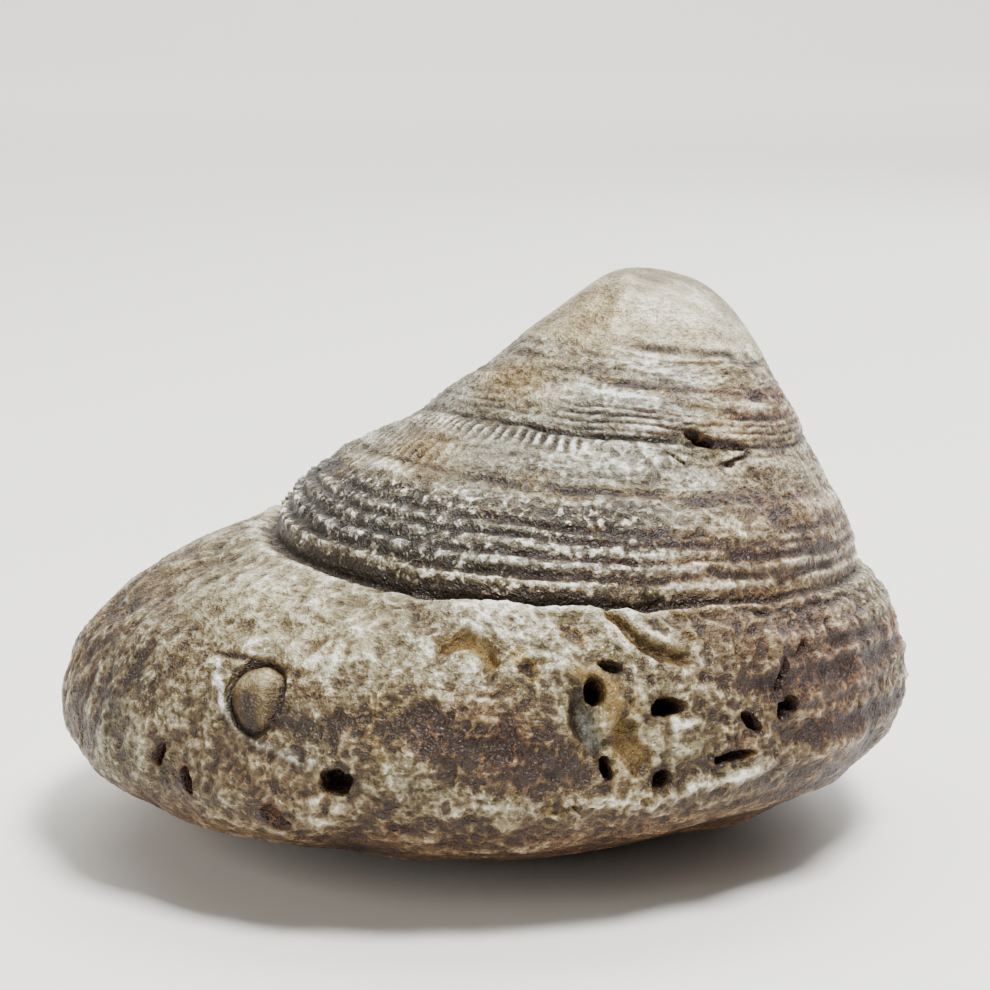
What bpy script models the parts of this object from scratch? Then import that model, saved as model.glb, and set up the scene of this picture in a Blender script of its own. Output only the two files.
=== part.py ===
# Fossil gastropod shell: one sea-worn, top-shaped stone that rests on a small flat spot.
# A UV sphere is drawn out into the whole shell. Each of its vertices keeps its azimuth and gets
# a row number: 0 at the unworn tip of the spire, 1 at the last suture, 2 at the widest line of
# the body whorl, 3 at the middle of the base. Azimuth is counted the way the shell grew, from
# 0 at +X through 90 degrees at -Y. Relief is then raised along the normals, the mesh is thinned,
# and the borings, the sockets and the flat spot are cut.

import math

import bmesh
import bpy
import numpy as np
from mathutils import Matrix, Vector

MM = 0.001
TURN = 2 * math.pi

# Spire: the cone that the whorls are wound on, measured from its unworn tip
TIP = np.array([17.55, 5.23, 50.5]) * MM
CONE_HALF_ANGLE = math.radians(39.5)
WHORL_GROWTH = 1.545            # each whorl against the one before it
SUTURE_DEPTH = 25.9 * MM        # along the axis, from the tip to the last suture at azimuth 0
SUTURE_SWAY = (0.050, -0.032)   # how far the last suture strays from a true spiral
TILT = math.radians(11.5)       # the axis leans to +X
LEAN = math.radians(5.1)        # and to +Y
SHEAR = 0.095                   # the spire was pushed sideways when it was buried

# Body whorl, round the middle of the base
BASE_CENTRE = np.array([3.25, -0.27]) * MM
GIRTH = 31.95 * MM              # mean radius of the widest line
GIRTH_SWAY = np.array([-3.2, -0.3, 2.7, -0.7]) * MM
WIDEST_HEIGHT = 11.7 * MM
WIDEST_SWAY = np.array([1.4, -0.5]) * MM
RAMP_ANGLE = math.radians(14)   # the ramp below the suture is this much flatter than the cone
SHOULDER_PULL = 0.85
SIDE_PULL = 1.30
BASE_ROUNDNESS = 1.98
BASE_LEAN = (0.14, math.radians(125))   # the base is worn thinner towards this azimuth
BASE_DROP = 0.35 * MM           # the round base reached this far below the worn flat

# Mouth: the growth step at the lip, filled with stone and worn round
LIP = math.radians(256)
MOUTH_SPAN = math.radians(62)
MOUTH_DEPTH = 1.2 * MM
LIP_HEIGHT = 0.5 * MM

# Wear at the top: the way each worn face looks, how far it lies from the unworn tip along that
# way, and how soft its edge is
TOP_WEAR = (
    ((0.22, -0.15, 0.96), -6.5 * MM, 0.60 * MM),
    ((0.62, -0.25, 0.75), -4.4 * MM, 0.80 * MM),
    ((0.15, -0.70, 0.70), -1.3 * MM, 0.20 * MM),
)
TOP_WEAR_END = (0.42, 0.55)     # rows between which the worn faces run out

# Relief of a whorl of full size; each smaller whorl has it in proportion
WHORL_BULGE = 0.95 * MM
SUTURE_GROOVE = 0.55 * MM
SUTURE_WIDTH = 0.030            # as a share of the whorl
CAP_RETURN = (math.radians(215), math.radians(330))     # where the cap's rim climbs back a whorl
CORDS = (                       # place on the whorl, half-width there, height
    (0.495, 0.045, 0.26 * MM),
    (0.655, 0.028, 0.24 * MM),
    (0.745, 0.026, 0.30 * MM),
    (0.830, 0.026, 0.30 * MM),
    (0.935, 0.028, 0.50 * MM),
)
COMB = (math.radians(104), math.radians(172), math.radians(3.2), 0.17 * MM)
KNOB_HEIGHT = 0.18 * MM

# Bands of the body whorl: row, half-width in rows, height, and the azimuths between which they
# stand out
BANDS = (
    (1.060, 0.030, 0.35 * MM, 62, 104),
    (1.360, 0.050, 0.28 * MM, -70, 62),
    (1.540, 0.045, 0.30 * MM, -70, 58),
    (1.780, 0.055, 0.34 * MM, -70, 52),
    (2.060, 0.045, 0.30 * MM, -60, 104),
    (2.300, 0.040, 0.12 * MM, -180, 180),
    (2.480, 0.035, 0.12 * MM, -180, 180),
)
LUMP_WAVES = 8
LUMP_SIZE = 9.0 * MM
LUMP_HEIGHT = 0.22 * MM
GRIT_SIZE = 3.2 * MM
GRIT_HEIGHT = 0.07 * MM

# Borings and sockets: azimuth and turn in degrees, row, then length, width and depth in mm.
# Turn is measured from the way down the slope towards the way of growth.
BORINGS = {
    "boring_main": (84.1, 1.585, -20, 2.3, 1.8, 3.2),
    "boring_trough_end": (78.5, 1.935, -17, 2.0, 1.0, 2.2),
    "boring_middle": (70.9, 1.680, -126, 2.5, 1.5, 2.4),
    "boring_low": (69.6, 2.030, -137, 1.9, 1.5, 2.4),
    "boring_arched": (115.9, 1.945, 0, 2.1, 2.3, 2.2),
    "boring_left_upper": (141.5, 1.930, 23, 1.9, 0.9, 1.8),
    "boring_left_lower": (136.9, 2.000, -19, 2.2, 1.2, 1.6),
    "boring_under": (124.0, 2.100, -43, 2.5, 1.6, 0.9),
    "boring_suture": (71.9, 0.622, -87, 3.2, 1.1, 1.6),
    "boring_suture_crack": (60.0, 0.645, -92, 2.8, 0.8, 0.9),
    "boring_right_slant": (55.2, 1.823, -60, 2.1, 1.0, 1.5),
    "boring_right_pair": (48.0, 1.785, 0, 1.5, 1.3, 1.8),
    "boring_right_slit": (52.0, 1.600, 16, 2.3, 0.8, 1.4),
    "boring_right_level": (57.2, 1.977, -98, 3.0, 0.9, 1.3),
    "boring_olive": (84.1, 1.425, -111, 1.9, 1.0, 0.8),
    "trough_grey": (81.8, 1.735, -15, 4.4, 2.0, 0.9),
    "trough_orange": (74.5, 1.885, -35, 4.2, 1.6, 0.6),
    "groove_upper": (85.8, 1.155, -54, 4.0, 1.0, 0.7),
    "groove_lower": (77.2, 1.325, -103, 4.0, 0.9, 0.5),
    "socket_open": (105.2, 1.350, -95, 4.2, 3.0, 0.8),
    "socket_oval": (129.8, 1.650, -30, 5.4, 4.0, 1.3),
}
PEBBLE = (129.8, 1.660, -30, 4.5, 3.1, 1.0)     # the stone that sits in the oval socket
PEBBLE_SINK = 0.35 * MM
CUTTER_SEGMENTS = 12
CUTTER_RINGS = 6
FRAME_STEP = 0.01               # radians and rows, for reading the slope at a place

# Mesh density before and after thinning; the rings lie closest where the whorls are
SEGMENTS = 480
RINGS = 480
RING_SHARE = (0.0, 0.04, 0.56, 0.82, 1.0)
RING_ROW = (0.0, 0.35, 1.02, 2.10, 3.0)
TRIANGLES = 7600
FLAT_BOX = 90 * MM

STONE_COLOUR = (0.30, 0.245, 0.185, 1.0)
STONE_ROUGHNESS = 0.45


def smooth_step(value, start, end):
    t = np.clip((value - start) / (end - start), 0.0, 1.0)
    return t * t * (3.0 - 2.0 * t)


def bell(value, centre, half_width):
    return np.exp(-((value - centre) / half_width) ** 2)


def window(azimuth, start, end, edge):
    """One between two azimuths and nought outside, for spans that may pass azimuth 0."""
    middle = 0.5 * (start + end)
    off = np.abs(np.mod(azimuth - middle + math.pi, TURN) - math.pi)
    return 1.0 - smooth_step(off, 0.5 * (end - start) - edge, 0.5 * (end - start) + edge)


def spiral_turns(azimuth):
    """Turns of growth at an azimuth, brought back by one turn across the mouth."""
    return azimuth / TURN - smooth_step(azimuth, LIP, LIP + MOUTH_SPAN)


def suture_sway(azimuth):
    return SUTURE_SWAY[0] * np.sin(azimuth) + SUTURE_SWAY[1] * np.sin(2 * azimuth)


def tilted(x, y, z):
    """Shell frame, tip at the origin and axis down -Z, to the resting frame."""
    x = x + SHEAR * z
    across = x * math.cos(TILT) + z * math.sin(TILT)
    up = -x * math.sin(TILT) + z * math.cos(TILT)
    back = y * math.cos(LEAN) + up * math.sin(LEAN)
    up = -y * math.sin(LEAN) + up * math.cos(LEAN)
    return np.stack([across, back, up], -1)


def cone_ray(azimuth, half_angle):
    """The step along the cone's side for each unit of depth below the tip."""
    reach = math.tan(half_angle)
    return tilted(reach * np.cos(azimuth), -reach * np.sin(azimuth), -np.ones_like(azimuth))


def unit(vectors):
    return vectors / np.linalg.norm(vectors, axis=-1, keepdims=True)


def last_suture(azimuth):
    depth = SUTURE_DEPTH * WHORL_GROWTH ** spiral_turns(azimuth) * np.exp(suture_sway(azimuth))
    return TIP + cone_ray(azimuth, CONE_HALF_ANGLE) * depth[:, None]


def widest_line(azimuth):
    waves = (np.cos(azimuth), np.sin(azimuth), np.cos(2 * azimuth), np.sin(2 * azimuth))
    radius = GIRTH + sum(size * wave for size, wave in zip(GIRTH_SWAY, waves))
    height = WIDEST_HEIGHT + sum(size * wave for size, wave in zip(WIDEST_SWAY, waves))
    x = BASE_CENTRE[0] + radius * np.cos(azimuth)
    y = BASE_CENTRE[1] - radius * np.sin(azimuth)
    return np.stack([x, y, height], -1)


def base_form(azimuth, row):
    """The smooth shell: a cone to row 1, a drawn curve to row 2, a super-ellipse to row 3."""
    azimuth = np.mod(azimuth, TURN)
    seam = last_suture(azimuth)
    rim = widest_line(azimuth)
    spire = TIP + (seam - TIP) * np.clip(row, 0.0, 1.0)[:, None]

    span = np.linalg.norm(rim - seam, axis=1)[:, None]
    way_out = unit(cone_ray(azimuth, CONE_HALF_ANGLE + RAMP_ANGLE)) * span * SHOULDER_PULL
    way_down = np.array([0.0, 0.0, -1.0]) * span * SIDE_PULL
    t = np.clip(row - 1.0, 0.0, 1.0)[:, None]
    body = (2 * t**3 - 3 * t**2 + 1) * seam + (t**3 - 2 * t**2 + t) * way_out
    body = body + (3 * t**2 - 2 * t**3) * rim + (t**3 - t**2) * way_down

    angle = np.clip(row - 2.0, 0.0, 1.0) * math.pi / 2
    power = 2 / (BASE_ROUNDNESS - BASE_LEAN[0] * np.cos(azimuth - BASE_LEAN[1]))
    inward = np.maximum(np.cos(angle), 0.0) ** power
    downward = np.sin(angle) ** power
    base = rim.copy()
    base[:, :2] = BASE_CENTRE + (rim[:, :2] - BASE_CENTRE) * inward[:, None]
    base[:, 2] = rim[:, 2] - (rim[:, 2] + BASE_DROP) * downward

    across = row[:, None]
    points = np.where(across <= 1.0, spire, np.where(across <= 2.0, body, base))
    return wear_top(points, 1.0 - smooth_step(row, *TOP_WEAR_END))


def wear_top(points, share):
    """Each worn face draws whatever stands above it down to itself, with a soft edge."""
    for way, reach, softness in TOP_WEAR:
        way = np.array(way) / np.linalg.norm(way)
        above = (points - TIP) @ way - reach
        drop = share * softness * np.logaddexp(0.0, above / softness)
        points = points - drop[:, None] * way
    return points


def whorl_place(azimuth, row):
    """Whorls below the tip counted from the last suture, and the size of the whorl there."""
    sway = suture_sway(azimuth)
    depth = SUTURE_DEPTH * WHORL_GROWTH ** spiral_turns(azimuth) * np.exp(sway)
    depth = depth * np.clip(row, 0.02, 1.0)
    turns = np.log(depth / SUTURE_DEPTH) / math.log(WHORL_GROWTH) - azimuth / TURN
    followed = np.clip(turns + 1.0, 0.0, 1.0)
    return turns - followed * sway / math.log(WHORL_GROWTH), depth / SUTURE_DEPTH


def lumps(points, wavelength, start):
    """Uneven wear: waves that cross each other, from about -1 to 1."""
    total = np.zeros(len(points))
    for step in range(LUMP_WAVES):
        around = start + 2.4 * step
        rise = 0.9 * math.sin(2.1 * step + start)
        level = math.sqrt(1.0 - rise * rise)
        way = np.array([level * math.cos(around), level * math.sin(around), rise])
        length = wavelength * (0.75 + 0.11 * step)
        total += np.sin(points @ way * TURN / length + 1.9 * step + start)
    return total / math.sqrt(LUMP_WAVES)


def spire_relief(azimuth, row, points):
    turns, size = whorl_place(azimuth, row)
    place = turns - np.floor(turns)
    last_whorl = smooth_step(turns, -1.02, -0.98)
    below_cap = smooth_step(turns + smooth_step(azimuth, *CAP_RETURN), -2.03, -1.97)

    height = WHORL_BULGE * (np.sin(math.pi * place**1.35) - 0.42)
    edge = np.minimum(place, 1.0 - place)
    height -= SUTURE_GROOVE * bell(edge, 0.0, SUTURE_WIDTH)
    for centre, half_width, rise in CORDS:
        broken = 1.0 + 0.35 * lumps(points, 6 * MM, 40 * centre)
        height += rise * broken * bell(place, centre, half_width)

    start, end, pitch, rise = COMB
    comb = np.cos(TURN * (azimuth + 0.15 * place) / pitch) * window(azimuth, start, end, 0.08)
    height += last_whorl * rise * comb * bell(place, 0.10, 0.075)
    knobs = lumps(points, 4.5 * MM, 2.0) * window(azimuth, 0.0, 1.1, 0.25)
    height += last_whorl * KNOB_HEIGHT * knobs * bell(place, 0.5, 0.35)

    mouth = window(azimuth, LIP, LIP + MOUTH_SPAN, 0.12)
    return height * size * below_cap * (1.0 - mouth * smooth_step(row, 0.9, 1.0))


def body_relief(azimuth, row, points):
    height = np.zeros(len(points))
    groove = WHORL_BULGE * 0.42 + SUTURE_GROOVE
    mouth = window(azimuth, LIP, LIP + MOUTH_SPAN, 0.12)
    size = WHORL_GROWTH ** spiral_turns(azimuth) * np.exp(suture_sway(azimuth))
    height -= groove * size * bell(row, 1.0, 0.045) * (1.0 - mouth)
    for centre, half_width, rise, start, end in BANDS:
        span = window(azimuth, math.radians(start), math.radians(end), 0.2)
        if end - start >= 360:
            span = np.ones(len(points))
        height += rise * span * bell(row, centre, half_width)
    return height


def mouth_relief(azimuth, row):
    """A worn lip, and behind it the stone that fills the mouth."""
    across = np.mod(azimuth - LIP + math.pi, TURN) - math.pi
    inside = smooth_step(row, 1.05, 1.40) * (1.0 - smooth_step(row, 2.20, 2.55))
    sunk = smooth_step(across, 0.0, 0.12) * (1.0 - smooth_step(across, 0.25, MOUTH_SPAN))
    lip = bell(across, -0.08, 0.13)
    return inside * (LIP_HEIGHT * lip - MOUTH_DEPTH * sunk)


def relief(azimuth, row, points):
    height = np.where(row <= 1.0, spire_relief(azimuth, row, points),
                      body_relief(azimuth, row, points))
    height += mouth_relief(azimuth, row)
    below_tip = smooth_step(row, 0.40, 0.55)
    height += LUMP_HEIGHT * lumps(points, LUMP_SIZE, 0.7) * below_tip
    height += GRIT_HEIGHT * lumps(points, GRIT_SIZE, 4.1) * below_tip
    return height


def read_vectors(mesh, attribute):
    values = np.empty(len(mesh.vertices) * 3)
    mesh.vertices.foreach_get(attribute, values)
    return values.reshape(-1, 3)


def write_places(mesh, points):
    mesh.vertices.foreach_set("co", points.astype(np.float32).ravel())
    mesh.update()


def stone_material():
    material = bpy.data.materials.new("worn_fossil_stone")
    material.use_nodes = True
    shader = material.node_tree.nodes["Principled BSDF"]
    shader.inputs["Base Color"].default_value = STONE_COLOUR
    shader.inputs["Roughness"].default_value = STONE_ROUGHNESS
    shader.inputs["Metallic"].default_value = 0.0
    material.diffuse_color = STONE_COLOUR
    return material


def build_shell(collection):
    mesh = bpy.data.meshes.new("fossil_shell")
    sphere = bmesh.new()
    bmesh.ops.create_uvsphere(sphere, u_segments=SEGMENTS, v_segments=RINGS, radius=1.0)
    sphere.to_mesh(mesh)
    sphere.free()

    directions = read_vectors(mesh, "co")
    azimuth = np.mod(np.arctan2(-directions[:, 1], directions[:, 0]), TURN)
    share = np.arccos(np.clip(directions[:, 2], -1.0, 1.0)) / math.pi
    row = np.interp(share, RING_SHARE, RING_ROW)
    points = base_form(azimuth, row)
    write_places(mesh, points)
    normals = read_vectors(mesh, "normal")
    write_places(mesh, points + normals * relief(azimuth, row, points)[:, None])

    mesh.materials.append(stone_material())
    shell = bpy.data.objects.new("fossil_shell", mesh)
    collection.objects.link(shell)
    thin = shell.modifiers.new("thin", "DECIMATE")
    thin.ratio = TRIANGLES / sum(len(face.vertices) - 2 for face in mesh.polygons)
    return shell


def place_frame(azimuth, row):
    """The point of the smooth shell at a place, its way down, its way of growth, its normal."""
    steps = ((0, 0), (FRAME_STEP, 0), (-FRAME_STEP, 0), (0, FRAME_STEP), (0, -FRAME_STEP))
    azimuths = np.array([azimuth + step[0] for step in steps])
    rows = np.array([row + step[1] for step in steps])
    spots = base_form(azimuths, rows)
    growth = Vector(spots[1] - spots[2]).normalized()
    down = Vector(spots[3] - spots[4]).normalized()
    normal = growth.cross(down).normalized() * -1.0
    if normal.dot(Vector(spots[0]) - Vector((0.0, 0.0, 15 * MM))) < 0.0:
        normal = -normal
    return Vector(spots[0]), down, normal


def add_egg(name, collection, place, sink):
    """An egg-shaped body sunk in the surface, its long way turned across the slope."""
    azimuth, row, turn, length, width, depth = place
    spot, down, normal = place_frame(math.radians(azimuth), row)
    growth = down.cross(normal).normalized()
    if growth.dot(Vector((-1.0, 0.0, 0.0))) < 0.0:
        growth = -growth
    turn = math.radians(turn)
    long_way = (down * math.cos(turn) + growth * math.sin(turn)).normalized()
    long_way = (long_way - normal * long_way.dot(normal)).normalized()
    wide_way = normal.cross(long_way)

    mesh = bpy.data.meshes.new(name)
    egg = bmesh.new()
    bmesh.ops.create_uvsphere(egg, u_segments=CUTTER_SEGMENTS, v_segments=CUTTER_RINGS, radius=1.0)
    size = Matrix.Diagonal((length / 2 * MM, width / 2 * MM, depth * MM, 1.0))
    turned = Matrix((long_way, wide_way, normal)).transposed().to_4x4()
    centre = Matrix.Translation(spot - normal * sink)
    bmesh.ops.transform(egg, matrix=centre @ turned @ size, verts=egg.verts)
    egg.to_mesh(mesh)
    egg.free()
    body = bpy.data.objects.new(name, mesh)
    body.hide_render = True
    body.display_type = "WIRE"
    collection.objects.link(body)
    return body


def add_flat(collection):
    """The block below the resting plane that the worn flat is cut with."""
    mesh = bpy.data.meshes.new("resting_flat")
    block = bmesh.new()
    bmesh.ops.create_cube(block, size=FLAT_BOX)
    bmesh.ops.translate(block, verts=block.verts, vec=(0.0, 0.0, -FLAT_BOX / 2))
    block.to_mesh(mesh)
    block.free()
    body = bpy.data.objects.new("resting_flat", mesh)
    body.hide_render = True
    body.display_type = "WIRE"
    collection.objects.link(body)
    return body


def add_boolean(shell, operation, body=None, bodies=None):
    step = shell.modifiers.new("cut_or_join", "BOOLEAN")
    step.operation = operation
    step.solver = "EXACT"
    if bodies:
        step.operand_type = "COLLECTION"
        step.collection = bodies
    else:
        step.object = body


def main():
    for item in list(bpy.data.objects):
        bpy.data.objects.remove(item, do_unlink=True)
    parts = bpy.data.collections.new("fossil gastropod shell")
    cutters = bpy.data.collections.new("cutters")
    borings = bpy.data.collections.new("borings")
    bpy.context.scene.collection.children.link(parts)
    bpy.context.scene.collection.children.link(cutters)
    cutters.children.link(borings)

    shell = build_shell(parts)
    for name, place in BORINGS.items():
        add_egg(name, borings, place, 0.0)
    add_boolean(shell, "DIFFERENCE", bodies=borings)
    add_boolean(shell, "UNION", body=add_egg("pebble", cutters, PEBBLE, PEBBLE_SINK))
    add_boolean(shell, "DIFFERENCE", body=add_flat(cutters))


main()
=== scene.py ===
import math
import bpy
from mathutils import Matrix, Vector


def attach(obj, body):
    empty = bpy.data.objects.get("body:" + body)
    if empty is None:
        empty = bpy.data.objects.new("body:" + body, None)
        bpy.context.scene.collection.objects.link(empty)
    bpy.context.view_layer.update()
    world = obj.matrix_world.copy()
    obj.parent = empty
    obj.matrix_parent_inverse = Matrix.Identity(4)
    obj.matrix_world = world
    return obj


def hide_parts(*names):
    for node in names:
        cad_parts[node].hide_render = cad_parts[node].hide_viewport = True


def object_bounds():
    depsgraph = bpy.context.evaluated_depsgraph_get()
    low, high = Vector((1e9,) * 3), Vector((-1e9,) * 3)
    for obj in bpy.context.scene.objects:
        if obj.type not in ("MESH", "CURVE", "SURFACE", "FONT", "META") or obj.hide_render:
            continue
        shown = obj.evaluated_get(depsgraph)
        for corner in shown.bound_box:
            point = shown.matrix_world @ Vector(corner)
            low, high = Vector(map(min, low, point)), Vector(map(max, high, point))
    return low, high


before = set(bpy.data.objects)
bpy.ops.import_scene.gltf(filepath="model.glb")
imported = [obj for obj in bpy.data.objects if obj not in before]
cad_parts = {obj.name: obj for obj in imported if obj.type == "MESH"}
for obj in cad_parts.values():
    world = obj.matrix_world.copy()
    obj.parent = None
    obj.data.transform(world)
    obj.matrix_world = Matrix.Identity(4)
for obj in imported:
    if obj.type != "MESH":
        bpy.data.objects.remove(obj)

from types import SimpleNamespace

import bpy
import numpy as np
from mathutils import Vector

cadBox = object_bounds()
turn = 2 * math.pi
mm = 0.001

# Sea-worn fossil top shell, one piece of stone.
# Every point of its skin has an azimuth (0 at +X, 90 degrees at -Y, the way the shell grew) and
# a row: 0 at the unworn tip, 1 at the last suture, 2 at the widest line, 3 under the base.
shellForm = {
    "tip": (17.55, 5.23, 50.5),         # unworn tip of the spire, mm
    "coneHalfAngle": 39.5,              # degrees
    "whorlGrowth": 1.545,               # each whorl to the one above
    "sutureDepth": 25.9,                # along the axis, from the tip to the last suture
    "sutureSway": (0.050, -0.032),      # once and twice round
    "tilt": 11.5,                       # of the axis, to the right at its top, degrees
    "lean": 5.1,                        # and backwards
    "shear": 0.095,                     # of what the stone's bed has pressed askew
    "middle": (3.0, 0.0, 15.0),         # inside the stone, for telling outwards
    "baseCentre": (3.25, -0.27),
    "girth": 31.95,                     # mean radius at the widest line, mm
    "girthSway": (-3.2, -0.3, 2.7, -0.7),
    "widestHeight": 11.7,
    "widestSway": (1.4, -0.5),
    "rampAngle": 14.0,                  # the body leaves the suture this much flatter than the cone
    "shoulderPull": 0.85,
    "sidePull": 1.30,
    "baseRoundness": 1.98,              # 2 is an ellipse
    "baseLean": (0.14, 125.0),          # less round towards this azimuth
    "baseDrop": 0.35,                   # mm that the worn flat has taken off
    "lip": 256.0,                       # azimuth of the mouth's edge
    "mouthSpan": 62.0,
    "topWear": (                        # way the worn face looks, reach from the tip, softness
        ((0.22, -0.15, 0.96), -6.5, 0.60),
        ((0.62, -0.25, 0.75), -4.4, 0.80),
        ((0.15, -0.70, 0.70), -1.3, 0.20),
    ),
    "topWearEnd": (0.42, 0.55),
}

# Stretches of azimuth in degrees: start, end, and how far each edge fades
sides = {
    "wornSuture": (-75, 82, 16),
    "wornLine": (-75, 84, 14),
    "wornCords": (-40, 90, 16),
    "brownGrooves": (-30, 100, 12),
    "knobs": (-20, 62, 14),
    "spireRight": (-10, 70, 15),
    "litCrown": (20, 125, 10),
    "craggy": (35, 128, 12),
    "speckledSpire": (70, 125, 12),
    "speckledBody": (70, 150, 12),
    "greyFront": (74, 215, 12),
    "ribs": (79, 116, 5),
    "ribbedStone": (80, 116, 6),
    "underKeel": (82, 215, 12),
    "calmCords": (84, 124, 8),
    "paleMiddle": (84, 125, 10),
    "beadField": (84, 215, 10),
    "upperFolds": (100, 210, 12),
    "ramp": (112, 190, 12),
    "faintLines": (112, 215, 8),
    "flatUpper": (112, 216, 12),
    "capJoin": (112, 216, 9),
    "capLeft": (112, 232, 10),
    "thinSutures": (118, 215, 14),
    "calmLeft": (118, 215, 12),
    "coolBeads": (118, 215, 10),
    "leftBeads": (122, 215, 10),
    "leftBody": (140, 215, 12),
    "behind": (190, 350, 22),
    "hidden": (195, 350, 22),
    "lip": (236, 300, 12),
    "roundedLip": (238, 324, 14),
}


def smoothStep(value, start, end):
    # 3t^2 - 2t^3 with t running from 0 at start to 1 at end
    t = np.clip((value - start) / (end - start), 0.0, 1.0)
    return t * t * (3.0 - 2.0 * t)


def bell(value, centre, halfWidth):
    # e to the minus squared distance from centre, in half-widths
    return np.exp(-((value - centre) / halfWidth) ** 2)


def azimuthWindow(azimuth, start, end, edge):
    # 1 between two azimuths in degrees, eased to 0 over the edge, also across azimuth 0
    middle = math.radians(0.5 * (start + end))
    off = np.degrees(np.abs(np.mod(azimuth - middle + math.pi, turn) - math.pi))
    return 1.0 - smoothStep(off, 0.5 * (end - start) - edge, 0.5 * (end - start) + edge)


def side(azimuth, name):
    # 1 along one of the named stretches of azimuth
    return azimuthWindow(azimuth, *sides[name])


def unit(v):
    # the same ways, each one long
    return v / np.maximum(np.linalg.norm(v, axis=-1, keepdims=True), 1e-12)


def spiralTurns(azimuth):
    # turns of growth, brought back by one turn across the filled mouth
    lip = math.radians(shellForm["lip"])
    span = math.radians(shellForm["mouthSpan"])
    return azimuth / turn - smoothStep(azimuth, lip, lip + span)


def sutureSway(azimuth):
    # how the sutures rise and fall round the shell: a wave once round and one twice round
    first, second = shellForm["sutureSway"]
    return first * np.sin(azimuth) + second * np.sin(2 * azimuth)


def lastDepth(azimuth):
    # depth of the last suture: first depth x growth^turns x e^sway
    depth = shellForm["sutureDepth"] * shellForm["whorlGrowth"] ** spiralTurns(azimuth)
    return depth * np.exp(sutureSway(azimuth))


def tilted(x, y, z):
    # the shell's own frame, tip at the origin and axis down, sheared, tilted and leant
    tilt, lean = math.radians(shellForm["tilt"]), math.radians(shellForm["lean"])
    x = x + shellForm["shear"] * z
    across = x * math.cos(tilt) + z * math.sin(tilt)
    up = -x * math.sin(tilt) + z * math.cos(tilt)
    back = y * math.cos(lean) + up * math.sin(lean)
    up = -y * math.sin(lean) + up * math.cos(lean)
    return np.stack([across, back, up], -1)


def coneRay(azimuth, halfAngle):
    # from the tip down the cone: out by the tangent of its half angle for each step down
    reach = math.tan(math.radians(halfAngle))
    return tilted(reach * np.cos(azimuth), -reach * np.sin(azimuth), -np.ones_like(azimuth))


def wearTop(points, share):
    # each worn face draws what stands above it down: drop = s ln(1 + e^(above/s))
    tip = np.array(shellForm["tip"])
    for way, reach, softness in shellForm["topWear"]:
        way = np.array(way) / np.linalg.norm(way)
        above = (points - tip) @ way - reach
        drop = share * softness * np.logaddexp(0.0, above / softness)
        points = points - drop[..., None] * way
    return points


def baseForm(azimuth, row):
    # cone from tip to suture, a Hermite curve from suture to widest line, and below it a
    # super-ellipse: radius x cos^(2/n), height x (1 - sin^(2/n))
    tip = np.array(shellForm["tip"])
    cone = shellForm["coneHalfAngle"]
    azimuth = np.mod(azimuth, turn)
    seam = tip + coneRay(azimuth, cone) * lastDepth(azimuth)[..., None]
    sway = shellForm["girthSway"]
    radius = (shellForm["girth"] + sway[0] * np.cos(azimuth) + sway[1] * np.sin(azimuth)
              + sway[2] * np.cos(2 * azimuth) + sway[3] * np.sin(2 * azimuth))
    rise = shellForm["widestSway"]
    height = shellForm["widestHeight"] + rise[0] * np.cos(azimuth) + rise[1] * np.sin(azimuth)
    centreX, centreY = shellForm["baseCentre"]
    outX, outY = radius * np.cos(azimuth), -radius * np.sin(azimuth)
    rim = np.stack([centreX + outX, centreY + outY, height], -1)

    spire = tip + (seam - tip) * np.clip(row, 0.0, 1.0)[..., None]
    span = np.linalg.norm(rim - seam, axis=-1)[..., None]
    wayOut = unit(coneRay(azimuth, cone + shellForm["rampAngle"])) * span
    wayOut = wayOut * shellForm["shoulderPull"]
    wayDown = np.array([0.0, 0.0, -1.0]) * span * shellForm["sidePull"]
    t = np.clip(row - 1.0, 0.0, 1.0)[..., None]
    body = (2 * t**3 - 3 * t**2 + 1) * seam + (t**3 - 2 * t**2 + t) * wayOut
    body = body + (3 * t**2 - 2 * t**3) * rim + (t**3 - t**2) * wayDown

    angle = np.clip(row - 2.0, 0.0, 1.0) * math.pi / 2
    amount, way = shellForm["baseLean"]
    power = 2 / (shellForm["baseRoundness"] - amount * np.cos(azimuth - math.radians(way)))
    inward = np.maximum(np.cos(angle), 0.0) ** power
    downward = np.sin(angle) ** power
    base = np.stack([centreX + outX * inward, centreY + outY * inward,
                     height - (height + shellForm["baseDrop"]) * downward], -1)
    spread = row[..., None]
    points = np.where(spread <= 1.0, spire, np.where(spread <= 2.0, body, base))
    return wearTop(points, 1.0 - smoothStep(row, *shellForm["topWearEnd"]))


def whorlPlace(azimuth, row):
    # whorls below the tip counted from the last suture, and the whorl's size there
    sway = sutureSway(azimuth)
    growth = math.log(shellForm["whorlGrowth"])
    depth = lastDepth(azimuth) * np.clip(row, 0.02, 1.0) / shellForm["sutureDepth"]
    turns = np.log(depth) / growth - azimuth / turn
    followed = np.clip(turns + 1.0, 0.0, 1.0)
    return turns - followed * sway / growth, depth


def lumps(points, wavelength, start):
    # eight crossing sine waves of about one wavelength, the same as on the solid
    total = np.zeros(points.shape[:-1])
    for step in range(8):
        around = start + 2.4 * step
        rise = 0.9 * math.sin(2.1 * step + start)
        level = math.sqrt(1.0 - rise * rise)
        way = np.array([level * math.cos(around), level * math.sin(around), rise])
        length = wavelength * (0.75 + 0.11 * step)
        total += np.sin(points @ way * turn / length + 1.9 * step + start)
    return total / math.sqrt(8)


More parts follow.
